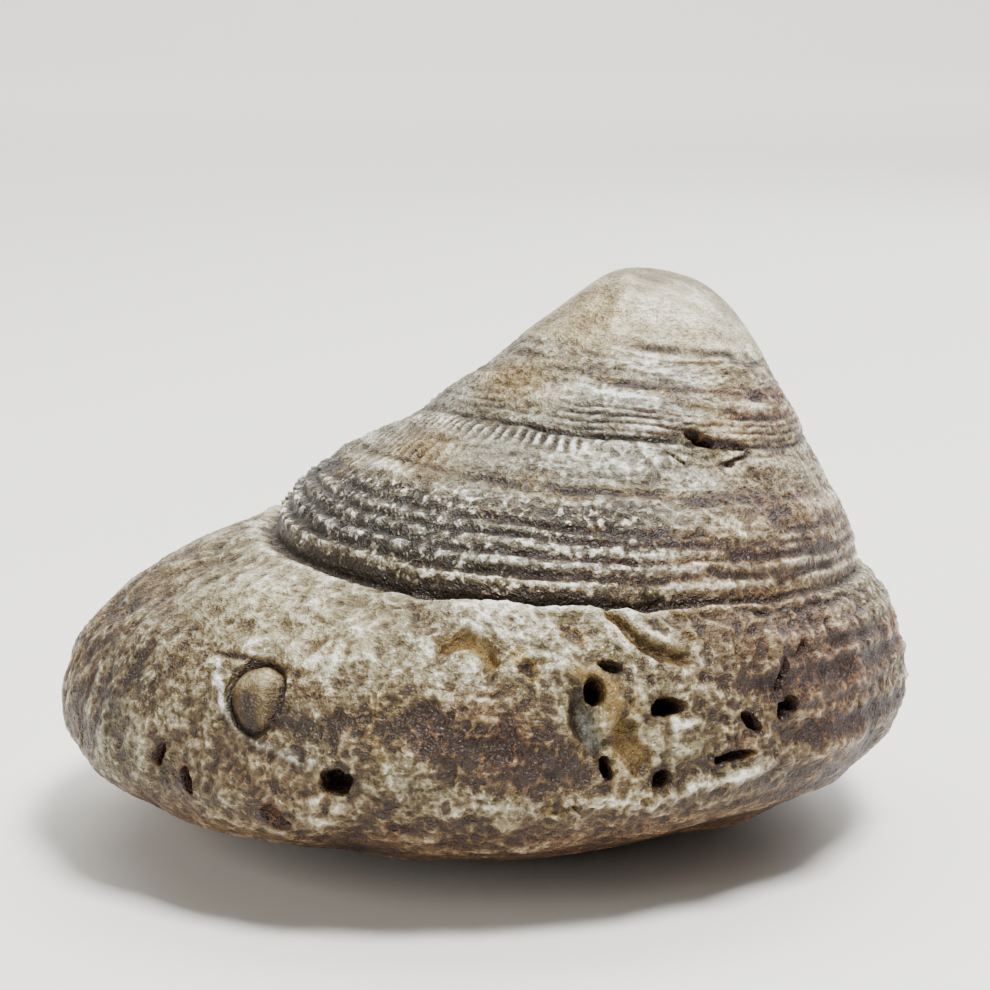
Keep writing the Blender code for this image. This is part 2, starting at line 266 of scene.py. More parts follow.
def grainNoise(points, seed):
    # gradient noise: each corner of a unit cell has a slope drawn by a hash of its place, and
    # the value is the eased mix of the eight slopes, from about -1 to 1
    slopes = unit(np.random.default_rng(seed).normal(size=(256, 3))).astype(np.float32)
    cell = np.floor(points).astype(np.int64)
    inside = (points - cell).astype(np.float32)
    ease = inside**3 * (inside * (inside * 6 - 15) + 10)
    total = np.zeros(points.shape[:-1], dtype=np.float32)
    for corner in range(8):
        step = np.array([corner & 1, corner >> 1 & 1, corner >> 2 & 1])
        place = cell + step
        mixed = place[..., 0] * 73856093 ^ place[..., 1] * 19349663 ^ place[..., 2] * 83492791
        slope = slopes[(mixed ^ mixed >> 7) & 255]
        share = np.where(step == 1, ease, 1 - ease).prod(-1)
        total += share * ((inside - step) * slope).sum(-1)
    return total * 1.55


def crests(noise, sharpness=1.0):
    # 1 on the lines where the noise is nought, falling to -1 where it is strongest
    return 1.0 - 2.0 * np.clip(np.abs(noise) * 1.5, 0.0, 1.0) ** sharpness


def crust(space, seed):
    # three sizes of bent crests, each about half the last: 1 + 0.6 + 0.35
    bent = space + 0.45 * grainNoise(space * 0.7, seed)[..., None]
    total = crests(grainNoise(bent, seed + 1)) + 0.6 * crests(grainNoise(bent * 2.1, seed + 2))
    return (total + 0.35 * grainNoise(bent * 4.3, seed + 3)) / 1.4


def softened(height, steps):
    # a box blur over the grid, twice: running sums that wrap round in azimuth
    for _ in range(2):
        ring = np.concatenate([height[-steps:], height, height[:steps]])
        total = np.cumsum(np.concatenate([np.zeros((1, height.shape[1])), ring]), axis=0)
        height = (total[2 * steps + 1:] - total[:-2 * steps - 1]) / (2 * steps + 1)
        wide = np.concatenate([np.repeat(height[:, :1], steps, 1), height,
                               np.repeat(height[:, -1:], steps, 1)], axis=1)
        total = np.cumsum(np.concatenate([np.zeros((height.shape[0], 1)), wide], axis=1), axis=1)
        height = (total[:, 2 * steps + 1:] - total[:, :-2 * steps - 1]) / (2 * steps + 1)
    return height


# Relief of the whorls: place on the whorl, half-width there, height in mm
whorls = {
    "bulge": 0.95,
    "sutureGroove": 0.62,
    "sutureWidth": 0.020,
    "upperShare": 0.45,                         # how much the upper whorls swell
    "upperSuture": 0.32,                        # depth of their sutures
    "sutureWear": 0.62,                         # how much the last one is worn on the right
    "lastTones": (0.20, 0.24),                  # how pale the cords, how dark the grooves
    "upperTones": (0.14, 0.17),
    "lastCords": (
        (0.520, 0.060, 0.13), (0.690, 0.015, 0.13), (0.757, 0.017, 0.16),
        (0.837, 0.020, 0.25), (0.924, 0.013, 0.20),
    ),
    "lastGrooves": (
        (0.424, 0.018, 0.08), (0.647, 0.014, 0.13), (0.721, 0.011, 0.10),
        (0.800, 0.014, 0.16), (0.880, 0.018, 0.20), (0.965, 0.020, 0.18),
    ),
    "upperCords": (
        (0.580, 0.040, 0.07), (0.778, 0.022, 0.09), (0.848, 0.022, 0.09), (0.913, 0.020, 0.10),
    ),
    "upperGrooves": (
        (0.427, 0.032, 0.08), (0.743, 0.014, 0.09), (0.813, 0.012, 0.09),
        (0.882, 0.012, 0.09), (0.944, 0.014, 0.10),
    ),
    "comb": (104.0, 172.0, 3.2, 0.22),          # start, end, pitch in degrees, height
    "folds": (134.0, 205.0, 3.4, 0.13),
    "beads": (112.0, 205.0, 4.4),
    "knobs": 0.20,                              # height of the worn knobs on the right
    "capReturn": (215.0, 330.0),                # the cap's edge comes back to its start here
}


def lastWhorlShare(azimuth, turns):
    # 1 on the last whorl; the one above turns into it over a fifth of a turn before azimuth 0
    return smoothStep(np.floor(turns) + azimuth / turn, -1.22, -1.0)


def mouthShare(azimuth):
    # 1 across the filled mouth
    return azimuthWindow(azimuth, shellForm["lip"], shellForm["lip"] + shellForm["mouthSpan"], 7)


def sutureStrength(azimuth, turns):
    # the last suture is deep on the left and worn on the right; the upper ones are faint
    lastOne, capOne = bell(turns, 0.0, 0.35), bell(turns, -2.0, 0.35)
    upper = whorls["upperSuture"] * (1.0 - 0.5 * side(azimuth, "thinSutures"))
    upper = upper * (1.0 - capOne * side(azimuth, "capLeft"))
    lastShare = lastOne * (1.0 - whorls["sutureWear"] * side(azimuth, "wornSuture"))
    return (lastShare + (1.0 - lastOne) * upper) * (1.0 - 0.8 * side(azimuth, "lip"))


def addCords(height, toned, azimuth, bandSpace, place, last):
    # cords and grooves: bells across the whorl, broken and dashed along it by noise, and
    # swollen into beads, cos(turns of the pitch), on the left
    upper = 1.0 - last
    drawn = np.clip(place + 0.007 * grainNoise(bandSpace / np.array([1.6, 1.6, 6.0]), 3), 0.0, 1.0)
    worn = 1.0 - 0.58 * side(azimuth, "wornCords")
    broken = 1.0 + 0.8 * grainNoise(bandSpace / np.array([0.20, 0.20, 1.6]), 11)
    broken += 0.5 * grainNoise(bandSpace / np.array([0.7, 0.7, 3.0]), 12)
    broken *= worn
    dashed = np.clip(0.75 + 1.3 * grainNoise(bandSpace / np.array([0.26, 0.26, 1.1]), 13), 0.0, 1.7)
    start, end, pitch = whorls["beads"]
    beadPhase = azimuth * 360 / turn / pitch
    beaded = azimuthWindow(azimuth, start, end, 12)
    calm = 1.0 - 0.35 * side(azimuth, "calmCords")
    cordTone, grooveTone = whorls["lastTones"]
    for centre, halfWidth, rise in whorls["lastCords"]:
        shift = np.cos(turn * (beadPhase + 7 * centre)) * beaded
        knobbed = np.clip(broken + 0.70 * shift * (centre > 0.6), 0.0, 2.0) * calm
        line = last * bell(drawn, centre, halfWidth)
        height += rise * knobbed * line
        toned += cordTone * (knobbed - 0.45) * line * worn
    for centre, halfWidth, fall in whorls["lastGrooves"]:
        line = last * bell(drawn, centre, halfWidth)
        height -= fall * np.clip(broken, 0.3, 1.6) * line
        toned -= grooveTone * dashed * worn * line
    faint = 1.0 - 0.60 * side(azimuth, "faintLines")
    cordTone, grooveTone = whorls["upperTones"]
    for centre, halfWidth, rise in whorls["upperCords"]:
        line = faint * upper * bell(drawn, centre, halfWidth)
        height += rise / 0.65 * broken * line
        toned += cordTone * (broken - 0.4) * line
    for centre, halfWidth, fall in whorls["upperGrooves"]:
        line = faint * upper * bell(drawn, centre, halfWidth)
        height -= fall / 0.65 * np.clip(broken, 0.3, 1.6) * line
        toned -= grooveTone * dashed * line


def addRibs(height, toned, azimuth, points, place, last):
    # the comb of short ribs below the suture and the slanting folds under it, each
    # cos(turns of the pitch) with a lean and a noise, and the worn knobs on the right
    start, end, pitch, rise = whorls["comb"]
    combs = np.cos(turn * ((np.degrees(azimuth) + 9.0 * place) / pitch
                           + 0.22 * grainNoise(points / 2.2, 23)))
    combs = combs * azimuthWindow(azimuth, start, end, 5) * bell(place, 0.090, 0.055)
    combs *= np.clip(0.9 + 0.6 * grainNoise(points / 1.3, 24), 0.2, 1.4)
    height += last * rise * combs
    toned += last * 0.24 * combs
    start, end, pitch, rise = whorls["folds"]
    folds = 0.75 * np.cos(turn * ((np.degrees(azimuth) + 16.0 * place) / pitch
                                  + 0.35 * grainNoise(points / 2.0, 25)))
    folds *= 1.0 + 0.6 * grainNoise(points / 1.4, 21)
    foldShare = last * azimuthWindow(azimuth, start, end, 8) * bell(place, 0.36, 0.20)
    height += rise * folds * foldShare
    toned += 0.06 * folds * foldShare
    height += (1.0 - last) * 0.06 * folds * side(azimuth, "upperFolds") * bell(place, 0.5, 0.4)
    knobs = grainNoise(points / 1.6, 22) * side(azimuth, "knobs")
    height += whorls["knobs"] * knobs * bell(place, 0.52, 0.36) * (0.4 + 0.6 * last)


def spireHeight(azimuth, row, points, bandSpace):
    # height and tone of the whorls: swelling B(s sin(pi p^1.35) - 0.3) with p the place on the
    # whorl, less a bell at the suture, then cords and ribs, all in proportion to the whorl
    turns, size = whorlPlace(azimuth, row)
    place = turns - np.floor(turns)
    last = lastWhorlShare(azimuth, turns)
    belowCap = smoothStep(turns + smoothStep(azimuth, *np.radians(whorls["capReturn"])), -2.05, -1.95)
    swell = last + (1.0 - last) * whorls["upperShare"] * (1.0 - 0.5 * side(azimuth, "flatUpper"))
    height = whorls["bulge"] * (swell * np.sin(math.pi * place**1.35) - 0.30)
    edge = np.minimum(place, 1.0 - place)
    strength = sutureStrength(azimuth, turns)
    height -= whorls["sutureGroove"] * strength * bell(edge, 0.0, whorls["sutureWidth"])
    toned = np.zeros(row.shape)
    addCords(height, toned, azimuth, bandSpace, place, last)
    addRibs(height, toned, azimuth, points, place, last)
    height = height * size * belowCap
    height = height * (1.0 - mouthShare(azimuth) * smoothStep(row, 0.9, 1.0))
    return height, toned * belowCap, belowCap


# Broad bands round the body and low rings under it: row, half-width there, height in mm, and for
# a band where it starts and ends in degrees
bodyForm = {
    "bands": (
        (1.06, 0.030, 0.30, 62, 104), (1.36, 0.050, 0.22, -70, 62), (1.54, 0.045, 0.20, -70, 58),
        (1.78, 0.055, 0.26, -70, 52), (2.06, 0.045, 0.22, -60, 104),
    ),
    "lowRings": ((2.30, 0.040, 0.12), (2.48, 0.035, 0.12)),
    "mouthRidge": 0.35,
    "mouthDepth": 0.80,
}


def bodyHeight(azimuth, row):
    # the foot of the last suture, then a bell across each band and ring
    height = np.zeros(row.shape)
    size = lastDepth(azimuth) / shellForm["sutureDepth"]
    fall = whorls["bulge"] * 0.30 + whorls["sutureGroove"] * sutureStrength(azimuth, np.zeros(row.shape))
    height -= fall * size * bell(row, 1.0, 0.045) * (1.0 - mouthShare(azimuth))
    for centre, halfWidth, rise, start, end in bodyForm["bands"]:
        height += rise * azimuthWindow(azimuth, start, end, 11) * bell(row, centre, halfWidth)
    for centre, halfWidth, rise in bodyForm["lowRings"]:
        height += rise * bell(row, centre, halfWidth)
    return height


def mouthHeight(azimuth, row):
    # a low ridge along the lip, and past it the filled mouth, eased in and out
    across = np.mod(azimuth - math.radians(shellForm["lip"]) + math.pi, turn) - math.pi
    inside = smoothStep(row, 1.05, 1.40) * (1.0 - smoothStep(row, 2.20, 2.55))
    span = math.radians(shellForm["mouthSpan"])
    sunk = smoothStep(across, -0.02, 0.24) * (1.0 - smoothStep(across, 0.25, span))
    return inside * (bodyForm["mouthRidge"] * bell(across, -0.12, 0.17) - bodyForm["mouthDepth"] * sunk)


# How finely the skin is worked out, and what is left after thinning
skin = {
    "azimuthSteps": 1200,
    "rowSteps": 720,
    "frontShare": 0.38,                 # how much closer the steps lie in front
    "frontAzimuth": 100.0,
    "rowShare": (0.0, 0.03, 0.50, 0.82, 1.0),
    "rowPlace": (0.0, 0.30, 1.02, 2.15, 3.0),
    "triangles": 192000,
    "inset": 0.10,                      # mm that the skin keeps inside the solid
    "boxMargin": 0.03,                  # mm, because thinning may still move a point a little
    "flatBelow": 0.06,                  # mm: what lies lower is the worn flat
    "flatHeight": 0.001,
    "lipBlur": 24,                      # steps that the rounded lip is blurred over
    "surroundings": (5, 14),            # steps that close and wider surroundings reach
    "bandCentre": (17.0, 5.0),          # mm: the streaks turn round this
    "bandSize": 8.0,                    # mm round it, at a size of one
    "bandRates": (12.4, 20.0),          # down the spire, down the body
}


def surveyForm(fast):
    # all that relief and colour read of the smooth form: azimuths lie closer in front,
    # t - share sin(t - front), and rows where the whorls are
    columns, rings = skin["azimuthSteps"] // fast, skin["rowSteps"] // fast
    t = np.arange(columns) / columns * turn
    azimuths = np.mod(t - skin["frontShare"] * np.sin(t - math.radians(skin["frontAzimuth"])), turn)
    azimuths = np.roll(azimuths, -int(np.argmin(azimuths)))
    rows = np.interp(np.linspace(0, 1, rings + 1), skin["rowShare"], skin["rowPlace"])[1:-1]
    azimuth, row = np.meshgrid(azimuths, rows, indexing="ij")
    points = baseForm(azimuth, row)

    # the sea has rounded the lip: there the form is mixed with its own blur
    rounded = (side(azimuth, "roundedLip") * bell(row, 1.0, 0.20))[..., None]
    blurred = np.stack([softened(points[..., axis], skin["lipBlur"] // fast) for axis in range(3)], -1)
    points = points + rounded * (blurred - points)

    # normals of the smooth form from its two grid directions
    padded = np.concatenate([points[-1:], points, points[:1]])
    normal = unit(np.cross(np.gradient(points, axis=1), padded[2:] - padded[:-2]))
    outside = ((points - np.array(shellForm["middle"])) * normal).sum(-1).mean()
    normal = normal * np.sign(outside)

    # the space that streaks follow: slow along the spiral, quick across it
    turns, size = whorlPlace(azimuth, row)
    growth = math.log(shellForm["whorlGrowth"])
    soft = np.log(size) / growth - spiralTurns(azimuth)
    soft -= sutureSway(azimuth) / growth
    spireRate, bodyRate = skin["bandRates"]
    across = np.where(row <= 1.0, soft * spireRate, (row - 1.0) * bodyRate)
    centre, bandSize = skin["bandCentre"], skin["bandSize"]
    bandSpace = np.stack([(points[..., 0] - centre[0]) / size / bandSize,
                          (points[..., 1] - centre[1]) / size / bandSize, across], -1)
    onSpire = 1.0 - smoothStep(row, 0.985, 1.015)
    return SimpleNamespace(
        azimuth=azimuth, row=row, points=points, normal=normal, degrees=np.degrees(azimuth),
        turns=turns, place=turns - np.floor(turns), bandSpace=bandSpace,
        onSpire=onSpire, onBody=1.0 - onSpire, lastWhorl=lastWhorlShare(azimuth, turns) * onSpire,
        onRamp=side(azimuth, "ramp") * smoothStep(row, 1.02, 1.1) * (1 - smoothStep(row, 1.45, 1.62)),
        onLeft=side(azimuth, "leftBody") * smoothStep(row, 1.45, 1.6) * (1 - smoothStep(row, 2.1, 2.3)),
        coarse=grainNoise(points / 2.6, 34),
        ragged=1.0 + 0.45 * grainNoise(points / 1.1, 41) + 0.25 * grainNoise(points / 0.5, 42))


# Height in mm of what the sea and the stone's own grain have left on the skin
wear = {
    "lumps": 0.22,              # broad swells, as on the solid
    "streaks": 0.056,           # wrinkles along the whorls
    "fineStreaks": 0.030,
    "spireCrust": 0.042,
    "hollows": 0.28,            # of the craggy front
    "swells": 0.20,
    "crags": 0.05,
    "bodyCrust": 0.15,
    "rampCrust": 0.07,          # by how much the crust is lower on the ramp
    "leftCrust": 0.12,
    "drape": 0.10,              # folds that hang down the ramp
    "grain": (0.045, 0.012),    # on weathered skin, and everywhere
    "ribs": 0.06,               # fine upright ribs of the dark field in front
    "waves": (0.10, 0.10),      # everywhere, and more on the body
    "capWaves": 0.06,
}


def stoneRelief(ground):
    # height in mm over the smooth form: whorls, bands and mouth, then wrinkles and crust, which
    # are crests of noise, long along the spiral on the spire
    azimuth, row, points, bandSpace = ground.azimuth, ground.row, ground.points, ground.bandSpace
    onSpire, onBody, onRamp, onLeft, coarse = (
        ground.onSpire, ground.onBody, ground.onRamp, ground.onLeft, ground.coarse)
    spire, ground.whorlTone, ground.belowCap = spireHeight(azimuth, np.minimum(row, 1.0), points, bandSpace)
    height = np.where(row <= 1.0, spire, bodyHeight(azimuth, row))
    height += mouthHeight(azimuth, row)
    height += wear["lumps"] * lumps(points, 9.0, 0.7) * smoothStep(row, 0.40, 0.55)

    streak = crests(grainNoise(bandSpace * np.array([2.4, 2.4, 1.15]), 31))
    fineStreak = crests(grainNoise(bandSpace * np.array([5.0, 5.0, 2.2]), 37))
    crustBody = crust(points / 2.0, 61)
    crustLeft = crust(points / np.array([1.6, 1.6, 3.0]), 71)
    finer = grainNoise(points / 0.48, 33)
    drape = crests(grainNoise(points / np.array([3.0, 3.0, 1.3]) + 0.6 * coarse[..., None], 35))
    ribSpan = (side(azimuth, "ribs")
               * bell(row, 1.80 - 0.0042 * (ground.degrees - 98), 0.085)
               * np.clip(0.6 + 1.2 * grainNoise(points / 3.0, 38), 0, 1))
    ribs = np.cos(turn * (ground.degrees * 0.70 + 0.45 * coarse + 0.12 * finer))
    under = smoothStep(row, 2.05, 2.55)
    capSmooth = np.maximum(ground.belowCap, smoothStep(row, 0.9, 1.0))
    rough = capSmooth * (1.0 - 0.75 * under)
    height += rough * onSpire * (wear["streaks"] * streak + wear["fineStreaks"] * fineStreak
                                 + wear["spireCrust"] * crustBody)
    craggy = onBody * side(azimuth, "craggy") * smoothStep(row, 1.02, 1.15) * (1 - under)
    hollows = grainNoise(points / 3.2, 39)
    height -= wear["hollows"] * craggy * smoothStep(hollows, 0.05, 0.70)
    height += wear["swells"] * craggy * smoothStep(-hollows, 0.05, 0.75)
    height += wear["crags"] * craggy * crests(grainNoise(points / 1.5 + 0.4 * coarse[..., None], 40))
    height += rough * onBody * (1 - onLeft) * (wear["bodyCrust"] - wear["rampCrust"] * onRamp) * crustBody
    height += rough * onBody * onLeft * wear["leftCrust"] * crustLeft
    height += rough * wear["drape"] * onRamp * drape
    height += (wear["grain"][0] * rough + wear["grain"][1]) * finer
    height += wear["ribs"] * ribSpan * ribs
    height += (wear["waves"][0] + wear["waves"][1] * onBody) * coarse * rough
    height += wear["capWaves"] * (1 - capSmooth) * coarse
    tone = ground.whorlTone * onSpire - 0.20 * ribSpan * (0.5 - 0.5 * ribs)
    return height, tone


def placeFrame(azimuth, row):
    # the point at a place, and the ways down the slope, of growth, and outwards
    step = 0.01                         # radians and rows to each side
    a = np.array([azimuth, azimuth + step, azimuth - step, azimuth, azimuth])
    r = np.array([row, row, row, row + step, row - step])
    spots = baseForm(a, r)
    growth, down = unit(spots[1] - spots[2]), unit(spots[3] - spots[4])
    out = unit(np.cross(down, growth))
    if out @ (spots[0] - np.array(shellForm["middle"])) < 0:
        out = -out
    return spots[0], down, unit(growth - down * (growth @ down)), out


def nearTo(points, spot, reach):
    # which grid points lie within reach of a spot, and their way from it
    near = np.abs(points - spot).max(-1) < reach
    return near, points[near] - spot


def ellipseAt(points, az, row, turned, length, width, reach):
    # grid points round an ellipse on the skin: how far along and across it, in half-axes, and how
    # far out of its plane, in mm
    spot, slope, growth, out = placeFrame(math.radians(az), row)
    near, away = nearTo(points, spot, reach)
    angle = math.radians(turned)
    u = away @ (slope * math.cos(angle) + growth * math.sin(angle)) / (length / 2)
    v = away @ (growth * math.cos(angle) - slope * math.sin(angle)) / (width / 2)
    return near, u, v, away @ out


def deepen(tints, tint, strength, near=...):
    # where tints meet, the stronger one stays
    if tint in tints:
        tints[tint][near] = np.maximum(tints[tint][near], strength)


# Soft hills and hollows: azimuth, row, turn, length, width, height in mm.
# Turn, here and below, is in degrees from straight down the slope towards the way of growth.
hills = {
    "besideTrough": (77.2, 1.600, -30, 3.4, 2.6, 0.42),
    "troughHollow": (84.6, 1.690, -20, 7.0, 2.4, -0.55),
    "middleBasin": (70.8, 1.685, -110, 4.4, 2.8, -0.45),
    "middleLump": (68.0, 1.760, -100, 3.0, 1.8, 0.40),
    "lowBasin": (70.6, 2.000, -60, 3.4, 2.6, -0.35),
    "creamHill": (99.5, 1.190, -80, 11.0, 5.0, 0.35),
    "openSocket": (104.8, 1.420, -70, 5.0, 4.0, -0.35),
    "openSocketLump": (103.6, 1.470, -80, 3.2, 2.4, 0.38),
    "underSocket": (101.0, 1.640, -80, 7.0, 2.6, 0.28),
    "ribHollow": (96.0, 1.800, -80, 14.0, 5.5, -0.35),
    "slantBed": (80.5, 1.250, -24, 8.0, 2.6, -0.30),
    "olivePitBed": (84.4, 1.430, -100, 3.6, 2.2, -0.30),
    "rightPairBed": (48.6, 1.795, -60, 3.6, 2.4, -0.35),
    "rightSlantBed": (55.2, 1.825, -60, 3.0, 2.0, -0.30),
    "rightLevelBed": (58.0, 1.975, -98, 4.6, 1.8, -0.30),
    "archBed": (115.8, 1.935, -85, 4.0, 3.2, -0.30),
    "leftBed": (139.5, 1.950, 10, 4.6, 3.4, -0.30),
    "ovalBed": (129.9, 1.668, -28, 9.0, 7.6, -0.30),
    "leftSwell": (146.0, 1.720, -20, 12.0, 8.0, 0.25),
    "lowSwell": (104.0, 1.990, -85, 12.0, 2.6, 0.28),
}


def raiseHills(ground, marks):
    # height x e^(-1.2 r^2) of an ellipse, r slightly ragged, and only on the side that it is on
    for az, row, turned, length, width, rise in hills.values():
        near, u, v, out = ellipseAt(ground.points, az, row, turned, length, width, length * 1.5)
        share = np.exp(-1.2 * (u * u + v * v) * (0.8 + 0.2 * ground.ragged[near]))
        marks.height[near] += rise * (share * smoothStep(out, -9.0, -4.0))


# Soft patches of colour: azimuth, row, turn, length, width in mm, tone, tint, strength of tint
patches = {
    "capCream": (80, 0.30, -90, 16, 9, 0.10, "none", 0.0),
    "capBlotchA": (72, 0.20, -90, 5.0, 2.0, -0.16, "ochre", 0.70),
    "capBlotchB": (98, 0.27, -60, 3.0, 1.6, -0.11, "ochre", 0.60),
    "capBlotchC": (60, 0.33, -90, 6.0, 1.8, -0.18, "ochre", 0.75),
    "capTan": (137, 0.33, -60, 13, 9, 0.02, "ochre", 0.70),
    "capYellowTop": (100, 0.10, 0, 9, 8, 0.04, "ochre", 0.45),
    "tanBelowCap": (143, 0.50, -90, 10, 6, -0.01, "ochre", 0.85),
    "upperTanBand": (98, 0.475, -90, 13, 1.3, -0.16, "ochre", 0.75),
    "upperWhite": (98, 0.505, -90, 14, 1.6, 0.22, "none", 0.0),
    "upperWhiteTop": (90, 0.420, -90, 13, 2.0, 0.16, "cool", 0.2),
    "upperRust": (40, 0.54, -90, 12, 3.0, -0.02, "rust", 0.40),
    "ochreLeft": (163, 0.83, -90, 6, 3.5, -0.06, "ochre", 0.95),
    "foldTan": (144, 0.73, -75, 9, 6, 0.00, "ochre", 0.80),
    "combGrey": (135, 0.64, -90, 15, 2.6, 0.04, "cool", 0.65),
    "middleGrey": (92, 0.66, -90, 14, 3.4, 0.09, "cool", 0.60),
    "whiteBandLeft": (121, 0.80, -90, 9, 2.2, 0.22, "cool", 0.25),
    "whiteBandMiddle": (101, 0.79, -90, 9, 2.0, 0.20, "none", 0.0),
    "creamRight": (78, 0.80, -90, 9, 2.6, 0.13, "none", 0.0),
    "beadGrey": (142, 0.87, -90, 13, 4.0, -0.02, "cool", 0.75),
    "leftEdgeGrey": (168, 0.90, -90, 8, 4.0, -0.06, "cool", 0.60),
    "rustShoulder": (21, 0.86, -60, 7, 3.0, -0.02, "rust", 0.60),
    "rustRight": (45, 0.83, -90, 16, 6.0, -0.18, "rust", 0.40),
    "rampBeige": (140, 1.28, -70, 20, 9, 0.18, "ochre", 0.22),
    "rampBeigeLow": (122, 1.36, -70, 14, 7, 0.12, "ochre", 0.14),
    "shoulderTan": (170, 1.52, 0, 12, 5, -0.04, "ochre", 0.45),
    "shoulderTip": (160, 1.16, -60, 7, 4, 0.02, "none", 0.0),
    "creamMiddle": (100, 1.20, -80, 13, 6, 0.16, "none", 0.0),
    "creamMiddleLow": (100, 1.56, -80, 10, 4, 0.13, "none", 0.0),
    "creamLump": (68.4, 1.752, -100, 2.6, 1.5, 0.34, "none", 0.0),
    "greyLeft": (152, 1.76, -10, 12, 9, -0.05, "cool", 0.30),
    "rightShade": (38, 1.70, -80, 26, 15, -0.20, "rust", 0.65),
    "lowShade": (120, 1.98, -80, 30, 5, -0.08, "rust", 0.25),
    "leftFleck": (160, 1.60, -10, 8, 5, 0.05, "none", 0.0),
    "purpleOne": (121, 1.640, -85, 5, 1.8, -0.26, "rust", 0.30),
    "purpleTwo": (122.4, 1.735, -85, 5, 2.0, -0.26, "cool", 0.25),
    "purpleThree": (116, 1.745, -70, 4, 2.4, -0.24, "rust", 0.25),
    "darkLeft": (104, 1.770, -80, 7, 3.6, -0.28, "rust", 0.55),
    "darkRibbed": (94, 1.800, -80, 11, 5.4, -0.27, "rust", 0.75),
    "darkRibbedRight": (87.0, 1.835, -70, 6, 4.4, -0.24, "ochre", 0.35),
    "caramelOne": (112.3, 1.735, -20, 4.6, 1.8, -0.12, "ochre", 0.85),
    "caramelTwo": (109.4, 1.712, 0, 3.4, 1.6, -0.12, "ochre", 0.75),
    "caramelThree": (98.0, 1.800, 0, 5.5, 1.6, -0.02, "ochre", 0.85),
    "oliveOne": (83.4, 1.860, -20, 2.6, 1.3, -0.06, "ochre", 0.75),
    "troughCaramel": (78.2, 1.770, -25, 7.0, 3.0, -0.05, "ochre", 1.0),
    "leftShade": (166, 1.75, -10, 24, 20, -0.10, "rust", 0.20),
    "whiteUnderArch": (115.6, 2.010, -90, 3.4, 1.5, 0.24, "none", 0.0),
    "whiteLow": (100, 1.985, -85, 14, 2.2, 0.12, "none", 0.0),
    "mossLine": (121, 1.865, -85, 6, 1.2, -0.20, "cool", 0.45),
    "rightPink": (66, 1.34, -80, 8, 6, 0.02, "rust", 0.22),
    "rightGrey": (50, 1.32, -80, 14, 5, 0.06, "cool", 0.25),
    "rightPale": (58, 1.74, -80, 9, 3.5, 0.08, "none", 0.0),
    "holeRust": (56, 1.90, -80, 7, 3.0, -0.06, "rust", 0.40),
}


def paintPatches(ground, marks):
    # tone and tint x e^(-r^2) of an ellipse with a ragged edge
    for az, row, turned, length, width, shade, tint, strength in patches.values():
        reach = max(length, width) * 1.5
        near, u, v, out = ellipseAt(ground.points, az, row, turned, length, width, reach)
        share = np.exp(-(u * u + v * v) * np.maximum(ground.ragged[near], 0.6))
        share = share * smoothStep(out, -12.0, -2.5)
        marks.tone[near] += shade * share
        deepen(marks.tints, tint, strength * share, near)


